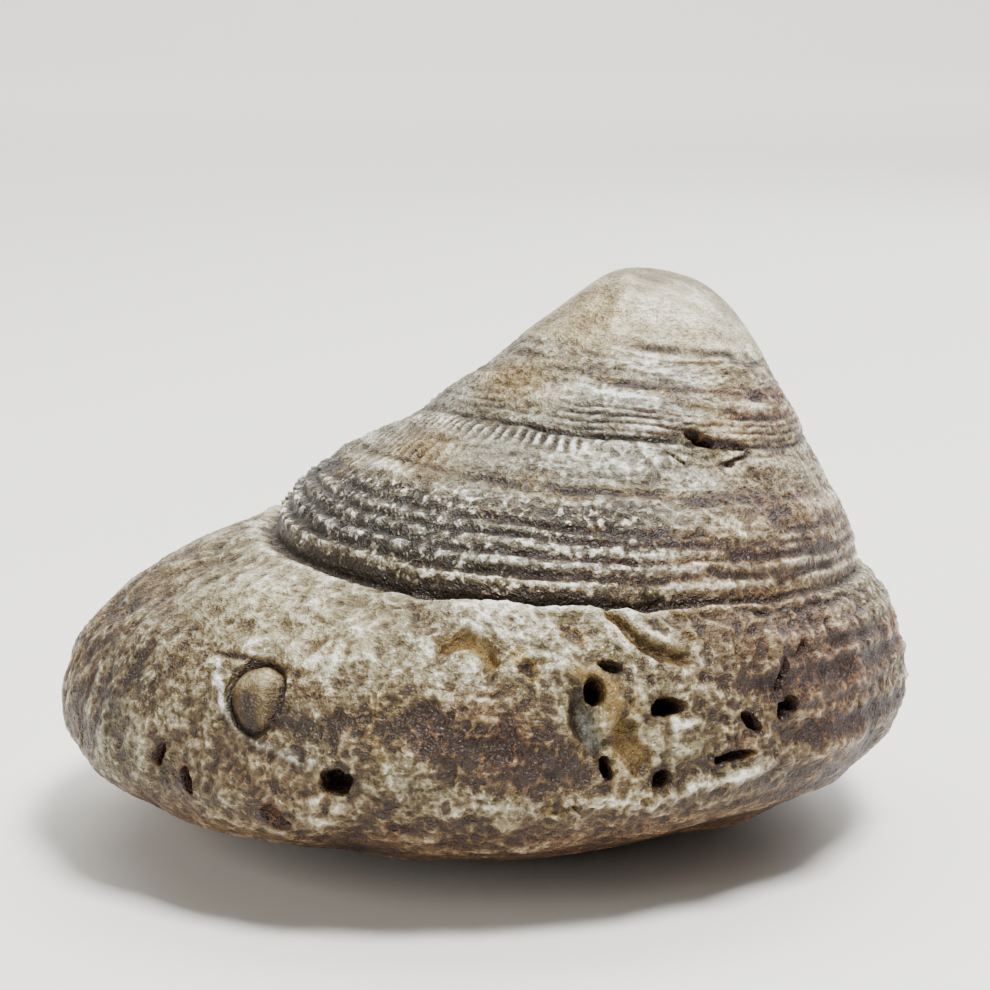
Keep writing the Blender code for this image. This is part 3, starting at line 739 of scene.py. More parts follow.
# Lines drawn on the skin: half-width, height in mm, tone, tint, and the azimuths and rows that
# they run through
grooveLines = {
    "capShadow": (0.50, -0.24, -0.40, "cool", (
        (112, 0.378), (101.8, 0.376), (84.8, 0.371), (71.2, 0.385), (45.8, 0.403), (12, 0.425))),
    "orangeUpper": (0.42, -0.10, -0.34, "rust", (
        (67.8, 0.500), (55.0, 0.510), (35.0, 0.523), (9.5, 0.533))),
    "orangeLower": (0.42, -0.12, -0.36, "rust", (
        (64.8, 0.555), (54.8, 0.568), (41.0, 0.575), (19.0, 0.573))),
    "combLine": (0.20, -0.26, -0.24, "cool", (
        (165.0, 0.618), (148.5, 0.608), (136.0, 0.600), (125.0, 0.603), (114.0, 0.610), (101.8, 0.615),
        (90.8, 0.618), (78.2, 0.615))),
    "cavityCrack": (0.22, -0.45, -0.44, "rust", (
        (70.5, 0.614), (66.5, 0.623), (60.8, 0.630), (56.0, 0.642), (55.2, 0.655), (58.2, 0.664),
        (63.8, 0.675), (68.8, 0.675))),
    "brownBand": (0.56, -0.14, -0.34, "ochre", (
        (125.7, 0.752), (119.3, 0.755), (113.5, 0.760), (108.5, 0.765), (101.5, 0.770), (97.0, 0.754),
        (88.2, 0.753), (79.5, 0.760), (76.0, 0.775), (71.8, 0.778), (66.2, 0.785))),
    "brownUpper": (0.46, -0.10, -0.26, "ochre", ((115.5, 0.738), (112.0, 0.727), (107.0, 0.723))),
    "uprightCrack": (0.14, -0.25, -0.28, "ochre", ((97.8, 0.763), (97.5, 0.785), (96.2, 0.815))),
    "brownLine": (0.30, -0.16, -0.38, "ochre", (
        (122.0, 0.833), (117.5, 0.833), (111.5, 0.838), (103.8, 0.846), (93.8, 0.857), (85.8, 0.857),
        (75.2, 0.861), (63.8, 0.870))),
    "orangeRight": (0.42, -0.14, -0.30, "rust", (
        (86.2, 0.872), (77.5, 0.880), (68.8, 0.895), (54.2, 0.913), (37.5, 0.908), (15.8, 0.913))),
    "darkRightShort": (0.24, -0.20, -0.46, "ochre", ((74.0, 0.930), (68.0, 0.943), (62.5, 0.950))),
    "darkRightLong": (0.24, -0.22, -0.44, "rust", (
        (56.0, 0.965), (50.3, 0.965), (41.5, 0.953), (28.0, 0.953))),
    "rampRight": (0.30, -0.24, -0.36, "ochre", (
        (68.0, 1.073), (61.0, 1.105), (53.5, 1.118), (45.2, 1.125), (33.2, 1.130), (20.0, 1.155))),
    "darkSpot": (0.42, -0.45, -0.42, "ochre", ((83.5, 0.968), (81.5, 0.992), (79.2, 0.985))),
    "slantGroove": (0.60, -0.95, -0.07, "ochre", (
        (89.6, 1.035), (87.8, 1.088), (85.8, 1.153), (81.5, 1.263), (77.5, 1.348), (73.8, 1.398),
        (71.2, 1.425))),
    "slantGrooveSide": (0.20, -0.20, -0.14, "ochre", ((83.2, 1.025), (80.5, 1.045), (75.0, 1.093))),
    "socketArc": (0.66, -0.45, -0.02, "ochre", (
        (109.2, 1.368), (109.5, 1.318), (108.2, 1.283), (106.2, 1.288), (104.0, 1.328), (102.0, 1.398),
        (100.8, 1.453))),
    "ovalTopGroove": (0.32, -0.36, -0.26, "ochre", (
        (139.5, 1.545), (136.2, 1.533), (133.2, 1.530), (130.5, 1.530), (127.7, 1.540), (124.6, 1.562))),
    "greyTrough": (0.80, -0.95, 0.22, "cool", (
        (85.2, 1.610), (84.5, 1.693), (82.8, 1.765), (81.0, 1.825), (79.8, 1.888))),
    # painted shadow along the grey trough's left wall, over a shallow real groove
    "troughWallShade": (0.30, -0.35, -0.52, "ochre", (
        (86.6, 1.585), (86.6, 1.650), (85.8, 1.705), (84.4, 1.760), (82.8, 1.812))),
    "orangeTrough": (0.95, -0.85, 0.01, "ochre", (
        (78.6, 1.700), (77.6, 1.760), (76.8, 1.810), (75.0, 1.868), (73.0, 1.933), (71.6, 1.975))),
    "bandA": (0.62, -0.16, -0.24, "rust", (
        (44.8, 1.458), (38.8, 1.455), (31.8, 1.475), (21.5, 1.523), (8.0, 1.560), (-22.0, 1.600))),
    "bandB": (0.66, -0.22, -0.30, "rust", (
        (69.0, 1.535), (62.5, 1.580), (56.2, 1.623), (50.0, 1.630), (43.2, 1.623), (35.0, 1.628),
        (22.2, 1.668), (8.0, 1.700), (-18.0, 1.740), (-46.0, 1.770))),
    "bandC": (0.78, -0.22, -0.28, "rust", (
        (47.5, 1.948), (43.0, 1.958), (36.5, 1.965), (28.0, 1.983), (14.5, 2.035), (2.0, 2.06),
        (-12.0, 2.075))),
}
ridgeLines = {
    "whiteBetween": (0.40, 0.08, 0.20, "none", (
        (74.0, 0.524), (60.0, 0.537), (40.0, 0.549), (15.0, 0.556))),
    "capEdge": (0.55, 0.20, 0.08, "none", (
        (175.0, 0.130), (140.0, 0.190), (126.3, 0.235), (119.8, 0.308), (117.0, 0.360))),
    "whiteKnob": (0.30, 0.25, 0.34, "none", ((150.6, 0.400), (149.6, 0.406))),
    "keelWhite": (0.26, 0.05, 0.26, "none", (
        (148.5, 0.920), (138.8, 0.921), (128.8, 0.922), (120.5, 0.922), (113.0, 0.925), (106.0, 0.928),
        (98.5, 0.934), (90.0, 0.942), (80.0, 0.946))),
    "whiteUpper": (0.20, 0.05, 0.22, "none", (
        (118.7, 0.853), (110.5, 0.856), (102.5, 0.864), (93.5, 0.873), (82.0, 0.878))),
    "whiteMiddle": (0.26, 0.06, 0.24, "none", (
        (124.8, 0.884), (115.2, 0.884), (107.5, 0.887), (99.8, 0.894), (92.5, 0.903), (77.2, 0.910))),
    "whiteLow": (0.16, 0.08, 0.30, "none", (
        (121.8, 0.963), (114.5, 0.963), (107.8, 0.965), (97.5, 0.969), (91.2, 0.978))),
    "grooveLip": (0.40, 0.12, 0.04, "none", (
        (93.0, 1.045), (90.8, 1.080), (88.8, 1.140), (85.0, 1.245), (80.5, 1.345))),
    "grooveLipRight": (0.40, 0.14, 0.10, "none", (
        (86.0, 1.060), (83.6, 1.130), (80.0, 1.230), (75.5, 1.330))),
    "ovalRim": (0.28, 0.16, 0.16, "cool", (
        (139.0, 1.530), (137.9, 1.580), (136.0, 1.640), (133.6, 1.716), (130.9, 1.785), (128.0, 1.828),
        (125.7, 1.846), (122.5, 1.862), (119.8, 1.882), (117.0, 1.895))),
    "caramelRidge": (0.66, 0.45, 0.05, "ochre", (
        (91.5, 1.425), (89.0, 1.450), (86.3, 1.482), (83.0, 1.530), (81.2, 1.618), (79.6, 1.708),
        (77.9, 1.790))),
    "lowLedge": (0.55, 0.28, 0.22, "none", (
        (83.0, 2.055), (79.8, 2.068), (75.8, 2.095), (71.5, 2.100), (67.5, 2.090), (62.5, 2.074),
        (57.0, 2.060), (50.0, 2.050))),
    "bandWhite": (0.42, 0.16, 0.20, "none", (
        (53.8, 1.863), (46.0, 1.858), (39.0, 1.880), (31.3, 1.898), (16.0, 1.965), (4.0, 1.99),
        (-30.0, 2.01))),
    "bandPaleUpper": (0.40, 0.14, 0.12, "none", (
        (47.0, 1.535), (38.0, 1.540), (28.0, 1.565), (14.0, 1.610), (-10.0, 1.660))),
    "paleBranch": (0.20, 0.12, 0.28, "none", (
        (113.0, 1.780), (111.8, 1.803), (110.0, 1.853), (108.8, 1.913), (107.8, 1.985))),
    "creamEdge": (0.50, 0.12, 0.04, "none", (
        (114.2, 1.183), (111.2, 1.145), (108.5, 1.100), (106.0, 1.065), (101.5, 1.050), (97.5, 1.052),
        (93.5, 1.050))),
    "growthA": (0.13, 0.06, 0.12, "none", ((135.5, 1.818), (134.0, 1.845), (133.0, 1.898), (133.5, 1.938))),
    "growthB": (0.13, 0.06, 0.12, "none", ((137.4, 1.835), (135.6, 1.860), (134.8, 1.910), (135.4, 1.960))),
    "diamond": (0.42, 0.16, 0.12, "none", ((91.5, 0.885), (88.5, 0.886))),
}
rubbedLines = ("greyTrough", "orangeTrough", "caramelRidge", "slantGroove", "socketArc")


def drawLines(ground, marks):
    # e^(-(d/w)^2) with d the distance to a broken line of places, which wanders a little, and w
    # narrowing to its ends; a rubbed line is whole, flatter in its bed, and keeps its own colour
    points = ground.points
    wander = 0.30 * np.stack([grainNoise(points / 1.5, seed) for seed in (43, 44, 45)], -1)
    broken = np.clip(0.85 + 0.6 * grainNoise(points / 1.9, 46), 0.25, 1.25)
    for name, (halfWidth, rise, shade, tint, stops) in (*grooveLines.items(), *ridgeLines.items()):
        azimuths, rows = zip(*stops)
        way = np.linspace(0, len(stops) - 1, 6 * len(stops))
        path = baseForm(np.interp(way, range(len(stops)), np.radians(azimuths)),
                        np.interp(way, range(len(stops)), rows))
        middle = (path.min(0) + path.max(0)) / 2
        near, away = nearTo(points, middle, np.abs(path - middle).max() + 3 * halfWidth)
        away = away + middle + wander[near]
        best = np.full(len(away), 1e9)
        along = np.zeros(len(away))
        for step, (first, second) in enumerate(zip(path[:-1], path[1:])):
            run = second - first
            s = np.clip((away - first) @ run / max(run @ run, 1e-9), 0, 1)
            off = ((away - first - s[:, None] * run) ** 2).sum(-1)
            along = np.where(off < best, (step + s) / (len(path) - 1), along)
            best = np.minimum(best, off)
        taper = np.clip(4.5 * np.minimum(along, 1 - along) + 0.25, 0, 1)
        width = halfWidth * np.clip(0.55 + 0.55 * ground.ragged[near], 0.45, 1.7) * (0.5 + 0.5 * taper)
        rubbed = name in rubbedLines
        share = np.exp(-(best / width**2) ** (1.7 if rubbed else 1.0)) * taper
        share = share * (1.0 if rubbed else broken[near])
        marks.height[near] += rise * share
        if rubbed:
            marks.smooth[near] = np.maximum(marks.smooth[near], share)
            for other in marks.tints.values():
                other[near] *= 1 - share
            marks.tone[near] += (shade - marks.tone[near]) * share
        else:
            marks.tone[near] += shade * share
        deepen(marks.tints, tint, share, near)


# Borings: azimuth, row, turn, length, width, depth in mm, kind
borings = {
    "mainHole": (84.7, 1.558, -42, 2.1, 1.45, 3.2, "hole"),
    "troughEnd": (78.7, 1.936, -17, 1.9, 0.85, 2.4, "hole"),
    "middleHole": (71.2, 1.680, -118, 2.5, 1.5, 2.4, "hole"),
    "lowHole": (69.8, 2.036, -130, 1.9, 1.5, 2.3, "hole"),
    "archHole": (115.8, 1.935, -85, 2.4, 1.9, 2.3, "hole"),
    "leftHole": (141.2, 1.930, 23, 2.0, 0.85, 1.8, "rustHole"),
    "leftHoleLow": (136.7, 1.992, -19, 2.3, 1.1, 1.6, "rustHole"),
    "underPit": (124.0, 2.100, -43, 2.7, 1.7, 0.9, "rustPit"),
    "underPitFaint": (108.6, 2.150, -57, 2.0, 1.1, 0.35, "rustPit"),
    "sutureHole": (72.2, 0.614, -83, 2.9, 1.05, 1.7, "rustHole"),
    "sutureSlit": (79.6, 0.662, -66, 1.7, 0.42, 0.7, "hole"),
    "rightSlant": (55.0, 1.828, -60, 2.2, 1.0, 1.5, "brownHole"),
    "rightPairUpper": (47.7, 1.780, -60, 1.5, 1.2, 1.9, "brownHole"),
    "rightPairLower": (49.2, 1.812, -40, 1.5, 1.1, 1.7, "hole"),
    "rightUpright": (51.6, 1.600, -14, 2.7, 0.75, 1.2, "rustHole"),
    "rightFaint": (49.0, 1.433, 10, 2.2, 0.7, 0.35, "rustPit"),
    "rightLevel": (57.4, 1.976, -98, 3.2, 0.75, 1.1, "brownHole"),
    "rightLevelEnd": (60.0, 1.984, -98, 1.0, 0.7, 1.6, "hole"),
    "olivePit": (84.2, 1.430, -105, 2.0, 0.95, 0.8, "olivePit"),
    "shallowPit": (77.2, 1.648, -20, 1.7, 1.3, 0.35, "brownPit"),
    "smallOlive": (73.5, 1.262, -70, 1.1, 0.8, 0.35, "olivePit"),
    "smallGrey": (69.0, 1.414, -60, 1.3, 1.1, 0.40, "greyPit"),
    "oliveSpot": (92.5, 1.245, -80, 2.2, 1.2, 0.25, "olivePit"),
    "oliveSpotLow": (96.8, 1.415, -70, 2.6, 1.2, 0.30, "olivePit"),
    "tinyPitA": (83.9, 2.077, -70, 0.9, 0.6, 0.4, "brownPit"),
    "tinyPitB": (72.5, 2.087, -70, 1.1, 0.7, 0.5, "brownPit"),
    "lowOlive": (86.5, 2.075, -80, 2.4, 0.9, 0.22, "olivePit"),
}

# What each kind of boring looks like inside: tone, tint, strength of the tint; the dark tone is partly the
# boring's own stain and partly painted shade
boringKinds = {
    "hole": (-0.48, "ochre", 0.5),
    "rustHole": (-0.40, "rust", 1.0),
    "brownHole": (-0.34, "ochre", 1.0),
    "rustPit": (-0.16, "rust", 0.9),
    "olivePit": (-0.24, "ochre", 0.9),
    "brownPit": (-0.14, "ochre", 0.6),
    "greyPit": (-0.10, "cool", 0.6),
}


def cutBorings(ground, marks):
    # a bowl with steep sides, eased from 1 inside to 0 outside a ragged ellipse, with a thin
    # raised lip round the deep ones
    points = ground.points
    for az, row, turned, length, width, depth, kind in borings.values():
        near, u, v, _ = ellipseAt(points, az, row, turned, length, width, length * 1.3)
        far = np.sqrt(u * u + v * v)
        far *= 1 + 0.15 * grainNoise(points[near] / 0.9, 51) + 0.10 * grainNoise(points[near] / 0.4, 53)
        shade, tint, strength = boringKinds[kind]
        lip = bell(far, 1.22, 0.16)
        deep = depth > 0.6
        marks.height[near] += -depth * (1 - smoothStep(far, 0.62, 1.08)) + 0.07 * lip * deep
        # inside darker, partly stain and partly painted shade; the lip a little paler as a painted
        # highlight, and painted shade round the mouth of the deep ones
        marks.tone[near] += shade * (1 - smoothStep(far, 0.75, 1.12)) + 0.07 * lip
        marks.tone[near] -= 0.10 * bell(far, 1.0, 0.55) * deep
        deepen(marks.tints, tint, strength * (1 - smoothStep(far, 0.9, 1.35)), near)


# Smooth sockets that a pebble has left or still fills: azimuth, row, turn, length, width in mm
sockets = {
    "oval": (129.9, 1.668, -28, 6.1, 4.9),
    "open": (105.2, 1.390, -60, 4.8, 4.2),
}


def cutSockets(ground, marks):
    # an egg-shaped outline: the filled one holds a smooth dome, sqrt(1 - r^2), in a ring that is
    # cut round it, and the open one a low worn rise
    for name, (az, row, turned, length, width) in sockets.items():
        near, u, v, _ = ellipseAt(ground.points, az, row, turned, length, width, length * 1.2)
        egg = v * (1 + 0.18 * u)
        far = np.sqrt(u * u + egg * egg) * (1 + 0.03 * grainNoise(ground.points[near] / 1.5, 52))
        inside = 1 - smoothStep(far, 0.90, 1.04)
        if name == "oval":
            dome = np.sqrt(np.clip(1 - (far / 0.88) ** 2, 0, 1))
            domed = inside * (1.15 * dome - 0.80 + 0.12 * bell(v, -0.30, 0.22))
            marks.height[near] = marks.height[near] * (1 - inside) + domed
            # painted on the pebble: a highlight towards its top left, a dark upright streak, and painted
            # shade in the ring cut round it
            shade = -0.16 + 0.30 * bell(u, -0.50, 0.26) + 0.16 * bell(v, -0.35, 0.16)
            shade -= 0.22 * bell(v, 0.12, 0.14) * smoothStep(u, -0.3, 0.1)
            shade -= 0.45 * bell(far, 0.95, 0.10)
            marks.tone[near] = marks.tone[near] * (1 - inside) + inside * shade
            marks.tints["ochre"][near] = marks.tints["ochre"][near] * (1 - inside) + 0.30 * inside
            marks.smooth[near] = np.maximum(marks.smooth[near], inside)
            marks.shallow[near] *= 1 - inside
            marks.broad[near] *= 1 - inside
        else:
            marks.height[near] += inside * (0.30 * np.clip(1 - (far / 0.8) ** 2, 0, 1) - 0.34)
            marks.tone[near] += 0.10 * bell(far, 0.4, 0.4)


# How the stone is coloured: tones are steps on the colour ramps, tints are shares of one
stain = {
    "bands": (0.24, 0.08),              # streaks of the spire, and of the body
    "shallow": (0.08, 1.5, 0.15),       # mm for a full step, most steps, tone of a step
    "broad": (0.34, -1.4, 1.1, 0.10, 0.05),     # the same with least and most, and more on the spire
    "keel": (-0.26, 0.30),              # tone and ochre under the beaded edge
    "shadedBelly": (-0.14, 0.55),             # painted shade below: tone, and a rust tint that is partly a reddish painted reflection
    "capOchre": 0.42,
    "brownGrooves": 0.70,
    "greyFront": (0.50, 0.15),          # on the last whorl, and more above it
    "beadField": (-0.29, 0.09),
    "beadCool": (0.50, 0.25),
    "spireRust": 0.18,
}


def stainStone(ground, marks):
    # crests are worn pale and hollows stained dark, in proportion to how far the skin stands
    # above or below its surroundings, and each zone of the shell adds its own tone and tint
    azimuth, row, place, tone, tints = ground.azimuth, ground.row, ground.place, marks.tone, marks.tints
    onSpire, onBody, belowCap, lastWhorl = ground.onSpire, ground.onBody, ground.belowCap, ground.lastWhorl
    bands = grainNoise(ground.bandSpace * np.array([1.2, 1.2, 0.75]), 91)
    tone += bands * (stain["bands"][0] * onSpire * belowCap + stain["bands"][1] * onBody)
    step, most, amount = stain["shallow"]
    stained = np.clip(marks.shallow / step, -most, most) * amount
    step, least, most, amount, more = stain["broad"]
    stained = stained + np.clip(marks.broad / step, least, most) * (amount + more * onSpire)
    leftOfLast, hidden = side(azimuth, "calmLeft") * onSpire, side(azimuth, "hidden")
    tone += stained * (1 - 0.9 * marks.smooth) * (1 - 0.50 * leftOfLast) * (1 - 0.30 * hidden)

    # sutures, and the shade under the beaded edge
    edge = np.minimum(place, 1 - place)
    lastLine = smoothStep(row, 0.90, 0.94)
    sutureDark = bell(edge, 0.0, 0.020 - 0.006 * (1 - lastLine)) * onSpire * belowCap
    capJoin = (ground.turns < -1.6) * side(azimuth, "capJoin")
    darkness = 0.10 + 0.40 * lastLine * (1 - 0.6 * side(azimuth, "wornLine"))
    tone -= darkness * sutureDark * (1 - capJoin) * np.clip(0.3 + 0.7 * ground.ragged, 0.2, 1.5)
    underKeel = smoothStep(place, 0.862, 0.885) * lastWhorl * side(azimuth, "underKeel")
    tone += stain["keel"][0] * smoothStep(place, 0.950, 0.985) * underKeel
    deepen(tints, "ochre", stain["keel"][1] * underKeel)

    # underside, worn top, right and left of the spire; the underside is painted shade with a reddish painted
    # reflection, and the body is a little darker towards the bottom
    shadedBelly = smoothStep(row, 2.00, 2.34)
    tone += stain["shadedBelly"][0] * shadedBelly
    deepen(tints, "rust", stain["shadedBelly"][1] * shadedBelly)
    cap = (1 - belowCap) * (row < 0.9)
    # painted light: the cap's face towards the light is painted paler and less ochre
    litCrown = 1 - smoothStep(ground.degrees, 108, 124)
    tone += (0.10 + 0.16 * litCrown * side(azimuth, "litCrown")) * cap + 0.16 * ground.coarse * cap
    deepen(tints, "ochre", (stain["capOchre"] - 0.08 * litCrown) * cap)
    # the body a little darker towards the bottom
    tone -= 0.05 * (1 - onSpire) * smoothStep(row, 1.5, 1.75)
    brownGroove = np.clip(-ground.whorlTone / 0.14, 0, 1) * side(azimuth, "brownGrooves") * onSpire
    deepen(tints, "rust", stain["brownGrooves"] * brownGroove)
    tone += 0.05 * onSpire * belowCap + 0.03 * lastWhorl * side(azimuth, "paleMiddle")
    grey, greyer = stain["greyFront"]
    greyFront = side(azimuth, "greyFront") * onSpire * belowCap
    deepen(tints, "cool", (grey + greyer * (1 - lastWhorl)) * greyFront)

    # the speckled field of beads
    beadField = lastWhorl * side(azimuth, "beadField") * smoothStep(place, 0.42, 0.62)
    tone += (stain["beadField"][0] + stain["beadField"][1] * side(azimuth, "leftBeads")) * beadField
    speckle = 0.12 + 0.95 * beadField + 0.30 * grainNoise(ground.points / 4.0, 81)
    speckle += 0.15 * onSpire * belowCap * side(azimuth, "speckledSpire")
    speckle += 0.20 * onBody * side(azimuth, "speckledBody") * bell(row, 1.5, 0.35)
    cool, cooler = stain["beadCool"]
    deepen(tints, "cool", (cool + cooler * side(azimuth, "coolBeads")) * beadField)
    speckle = np.clip(speckle, 0, 1.2) * (1 - 0.75 * cap) * (1 - 0.7 * shadedBelly) * (1 - 0.55 * ground.onRamp)
    marks.speckle = speckle * (1 - marks.smooth)
    deepen(tints, "rust", stain["spireRust"] * (side(azimuth, "spireRight") * onSpire * belowCap))

    # how strong the small patterns of the stone are: weak where it is rubbed or far in the back
    calmLeft = lastWhorl * side(azimuth, "calmLeft") * (1 - smoothStep(place, 0.42, 0.60))
    calmUpper = onSpire * belowCap * (1 - lastWhorl)
    calmed = 0.80 * marks.smooth + 0.55 * calmLeft + 0.30 * calmUpper + 0.30 * ground.onRamp
    calmed = calmed + 0.40 * cap + 0.30 * side(azimuth, "behind")
    ribbed = onBody * side(azimuth, "ribbedStone") * bell(row, 1.80, 0.09)
    marks.grainShare = 1 - np.clip(calmed, 0, 0.85) + 0.40 * ribbed


def storeAttribute(mesh, name, values):
    # one value a grid point, and for each pole the mean of its ring
    rings = values.reshape(*values.shape[:2], -1)
    every = np.concatenate([rings.reshape(-1, rings.shape[-1]), [rings[:, 0].mean(0), rings[:, -1].mean(0)]])
    kind, field = ("FLOAT_VECTOR", "vector") if values.ndim == 3 else ("FLOAT", "value")
    layer = mesh.attributes.new(name, kind, "POINT")
    layer.data.foreach_set(field, every.astype(np.float32).ravel())


def skinMesh(placed):
    # rings joined to each other and round, with a fan of triangles at each pole
    columns, rings = placed.shape[:2]
    top, bottom = placed[:, 0].mean(0), placed[:, -1].mean(0)
    verts = np.concatenate([placed.reshape(-1, 3), [top, bottom]]) * mm
    index = np.arange(columns * rings).reshape(columns, rings)
    after = np.roll(index, -1, axis=0)
    quads = np.stack([index[:, :-1], index[:, 1:], after[:, 1:], after[:, :-1]], -1).reshape(-1, 4)
    fanTop = np.stack([np.full(columns, columns * rings), index[:, 0], after[:, 0]], -1)
    fanLow = np.stack([np.full(columns, columns * rings + 1), after[:, -1], index[:, -1]], -1)
    loops = np.concatenate([quads.ravel(), fanTop.ravel(), fanLow.ravel()]).astype(np.int32)
    starts = np.concatenate([np.arange(len(quads)) * 4, len(quads) * 4 + np.arange(2 * columns) * 3])
    mesh = bpy.data.meshes.new("fossilShell")
    mesh.vertices.add(len(verts))
    mesh.vertices.foreach_set("co", verts.astype(np.float32).ravel())
    mesh.loops.add(len(loops))
    mesh.loops.foreach_set("vertex_index", loops)
    mesh.polygons.add(len(starts))
    mesh.polygons.foreach_set("loop_start", starts.astype(np.int32))
    mesh.update(calc_edges=True)
    mesh.polygons.foreach_set("use_smooth", np.ones(len(starts), dtype=bool))
    return mesh, 2 * len(quads) + 2 * columns


def makeSkin():
    # the smooth form, its relief, the marks on it, and its colour, then the mesh of it all
    fast = 1
    ground = surveyForm(fast)
    height, tone = stoneRelief(ground)
    smooth = np.zeros(tone.shape)       # 1 where the stone is rubbed smooth
    tints = {tint: np.zeros(tone.shape) for tint in ("ochre", "rust", "cool")}
    marks = SimpleNamespace(height=height, tone=tone, smooth=smooth, tints=tints)
    raiseHills(ground, marks)
    paintPatches(ground, marks)
    drawLines(ground, marks)

    # how far the skin stands above its close and its wider surroundings, in mm
    marks.shallow, marks.broad = (
        height - softened(height, max(1, steps // fast)) for steps in skin["surroundings"])
    cutBorings(ground, marks)
    cutSockets(ground, marks)
    stainStone(ground, marks)

    # inside the solid's box, with room for what thinning still moves, and flat where it rests
    placed = ground.points + ground.normal * (height - skin["inset"])[..., None]
    low, high = np.array(cadBox[0]) / mm, np.array(cadBox[1]) / mm
    placed = np.clip(placed, low + skin["boxMargin"], high - skin["boxMargin"])
    placed[..., 2] = np.where(ground.points[..., 2] < skin["flatBelow"], skin["flatHeight"], placed[..., 2])
    mesh, full = skinMesh(placed)
    storeAttribute(mesh, "tone", tone)
    storeAttribute(mesh, "tint", np.stack(list(tints.values()), -1))
    storeAttribute(mesh, "band", ground.bandSpace)
    storeAttribute(mesh, "speckle", marks.speckle)
    storeAttribute(mesh, "grainShare", marks.grainShare)

    piece = bpy.data.objects.new("fossilShell", mesh)
    bpy.context.scene.collection.objects.link(piece)
    thin = piece.modifiers.new("thin", "DECIMATE")
    thin.ratio = skin["triangles"] / fast / full
    thinned = bpy.data.meshes.new_from_object(piece.evaluated_get(bpy.context.evaluated_depsgraph_get()))
    piece.modifiers.clear()
    piece.data = thinned
    thinned.name = "fossilShell"
    thinned.polygons.foreach_set("use_smooth", np.ones(len(thinned.polygons), dtype=bool))
    return piece


def linear(hexColour):
    # sRGB hex to linear: c/12.92 below 0.04045, else ((c + 0.055)/1.055)^2.4
    parts = [int(hexColour[i:i + 2], 16) / 255 for i in (1, 3, 5)]
    return tuple(c / 12.92 if c <= 0.04045 else ((c + 0.055) / 1.055) ** 2.4 for c in parts) + (1.0,)


def addNode(tree, kind, settings=None, **links):
    # one node: settings by name, then values or other nodes' outputs for its sockets, which are
    # named with _ for a space, or by i and their number
    node = tree.nodes.new("ShaderNode" + kind)
    for name, value in (settings or {}).items():
        if name == "ramp":
            while len(node.color_ramp.elements) < len(value):
                node.color_ramp.elements.new(0.5)
            for element, (place, colour) in zip(node.color_ramp.elements, value):
                element.position = place
                element.color = linear(colour)
        else:
            setattr(node, name, value)
    for name, value in links.items():
        key = int(name[1:]) if name[0] == "i" and name[1:].isdigit() else name.replace("_", " ")
        if isinstance(value, bpy.types.NodeSocket):
            tree.links.new(value, node.inputs[key])
        else:
            node.inputs[key].default_value = value
    return node


stone = {
    "plain": ((0.0, "#2A1B08"), (0.16, "#443114"), (0.34, "#60522E"), (0.50, "#7E7557"), (0.66, "#A29A7E"),
              (0.82, "#CCC6AF"), (1.0, "#F8F6EC")),
    "ochre": ((0.0, "#291A05"), (0.18, "#4E380E"), (0.38, "#735722"), (0.58, "#968048"), (0.80, "#C6B480"),
              (1.0, "#EFE6C6")),
    "rust": ((0.0, "#2B1206"), (0.18, "#4E280E"), (0.38, "#704522"), (0.58, "#956C48"), (0.80, "#C2A380"),
             (1.0, "#EBDDC6")),
    "cool": ((0.0, "#1C1810"), (0.18, "#3B362A"), (0.38, "#59564A"), (0.58, "#818279"), (0.80, "#B5B8B2"),
             (1.0, "#F3F6F4")),
    "ior": 1.55,                # calcite, between 1.49 and 1.66
    "specular": 0.40,           # a little under the usual half: the grains shade each other
    "roughness": (0.25, 0.75, 0.34, 0.12),      # levels of hollow and crest, then their values
    "gloss": (0.30, 0.80, 0.02, 0.42),          # the same for the wet-looking film
    "coatRoughness": 0.10,
    "middle": 0.345,            # level of a tone of nought
    "toneGain": 1.25,
    "streakScale": (0.0036, 0.0036, 0.0018),    # streaks lie in the band's own space
    "patterns": {               # real size in mm, detail, roughness, twist
        "blotch": (5.0, 4.0, 0.55, 0.0),
        "patch": (2.2, 3.0, 0.50, 0.0),
        "crust": (1.2, 3.0, 0.50, 0.1),
        "grit": (0.42, 2.0, 0.50, 0.0),
        "streak": (1.0, 3.0, 0.55, 0.0),
        "fleck": (0.62, 2.0, 0.60, 0.2),
        "dot": (0.80, 2.0, 0.60, 0.5),
    },
    "shares": {                 # share of the level, and the pattern's mean
        "blotch": (0.34, 0.50),
        "patch": (0.34, 0.50),
        "streak": (0.62, 0.50),
        "net": (0.30, 0.36),
        "grit": (0.40, 0.50),
        "fineNet": (0.15, 0.40),
    },
    "nets": (("net", "crust", 9.0), ("fineNet", "grit", 8.0)),      # pale crests: pattern, steepness
    "flecks": (0.52, 0.64, -0.12, 0.46),        # white, from and to
    "dots": (0.44, 0.36, 0.0, -0.24),           # dark, from and to
    "tintEdge": (0.30, -0.17),                  # how ragged the edge of a tint is
    "gritRoughness": 0.22,
    "bump": {"net": 0.35, "grit": 0.50, "fineNet": 0.28, "streak": 0.38},
    "bumpHeight": 0.00030,                      # metres
}


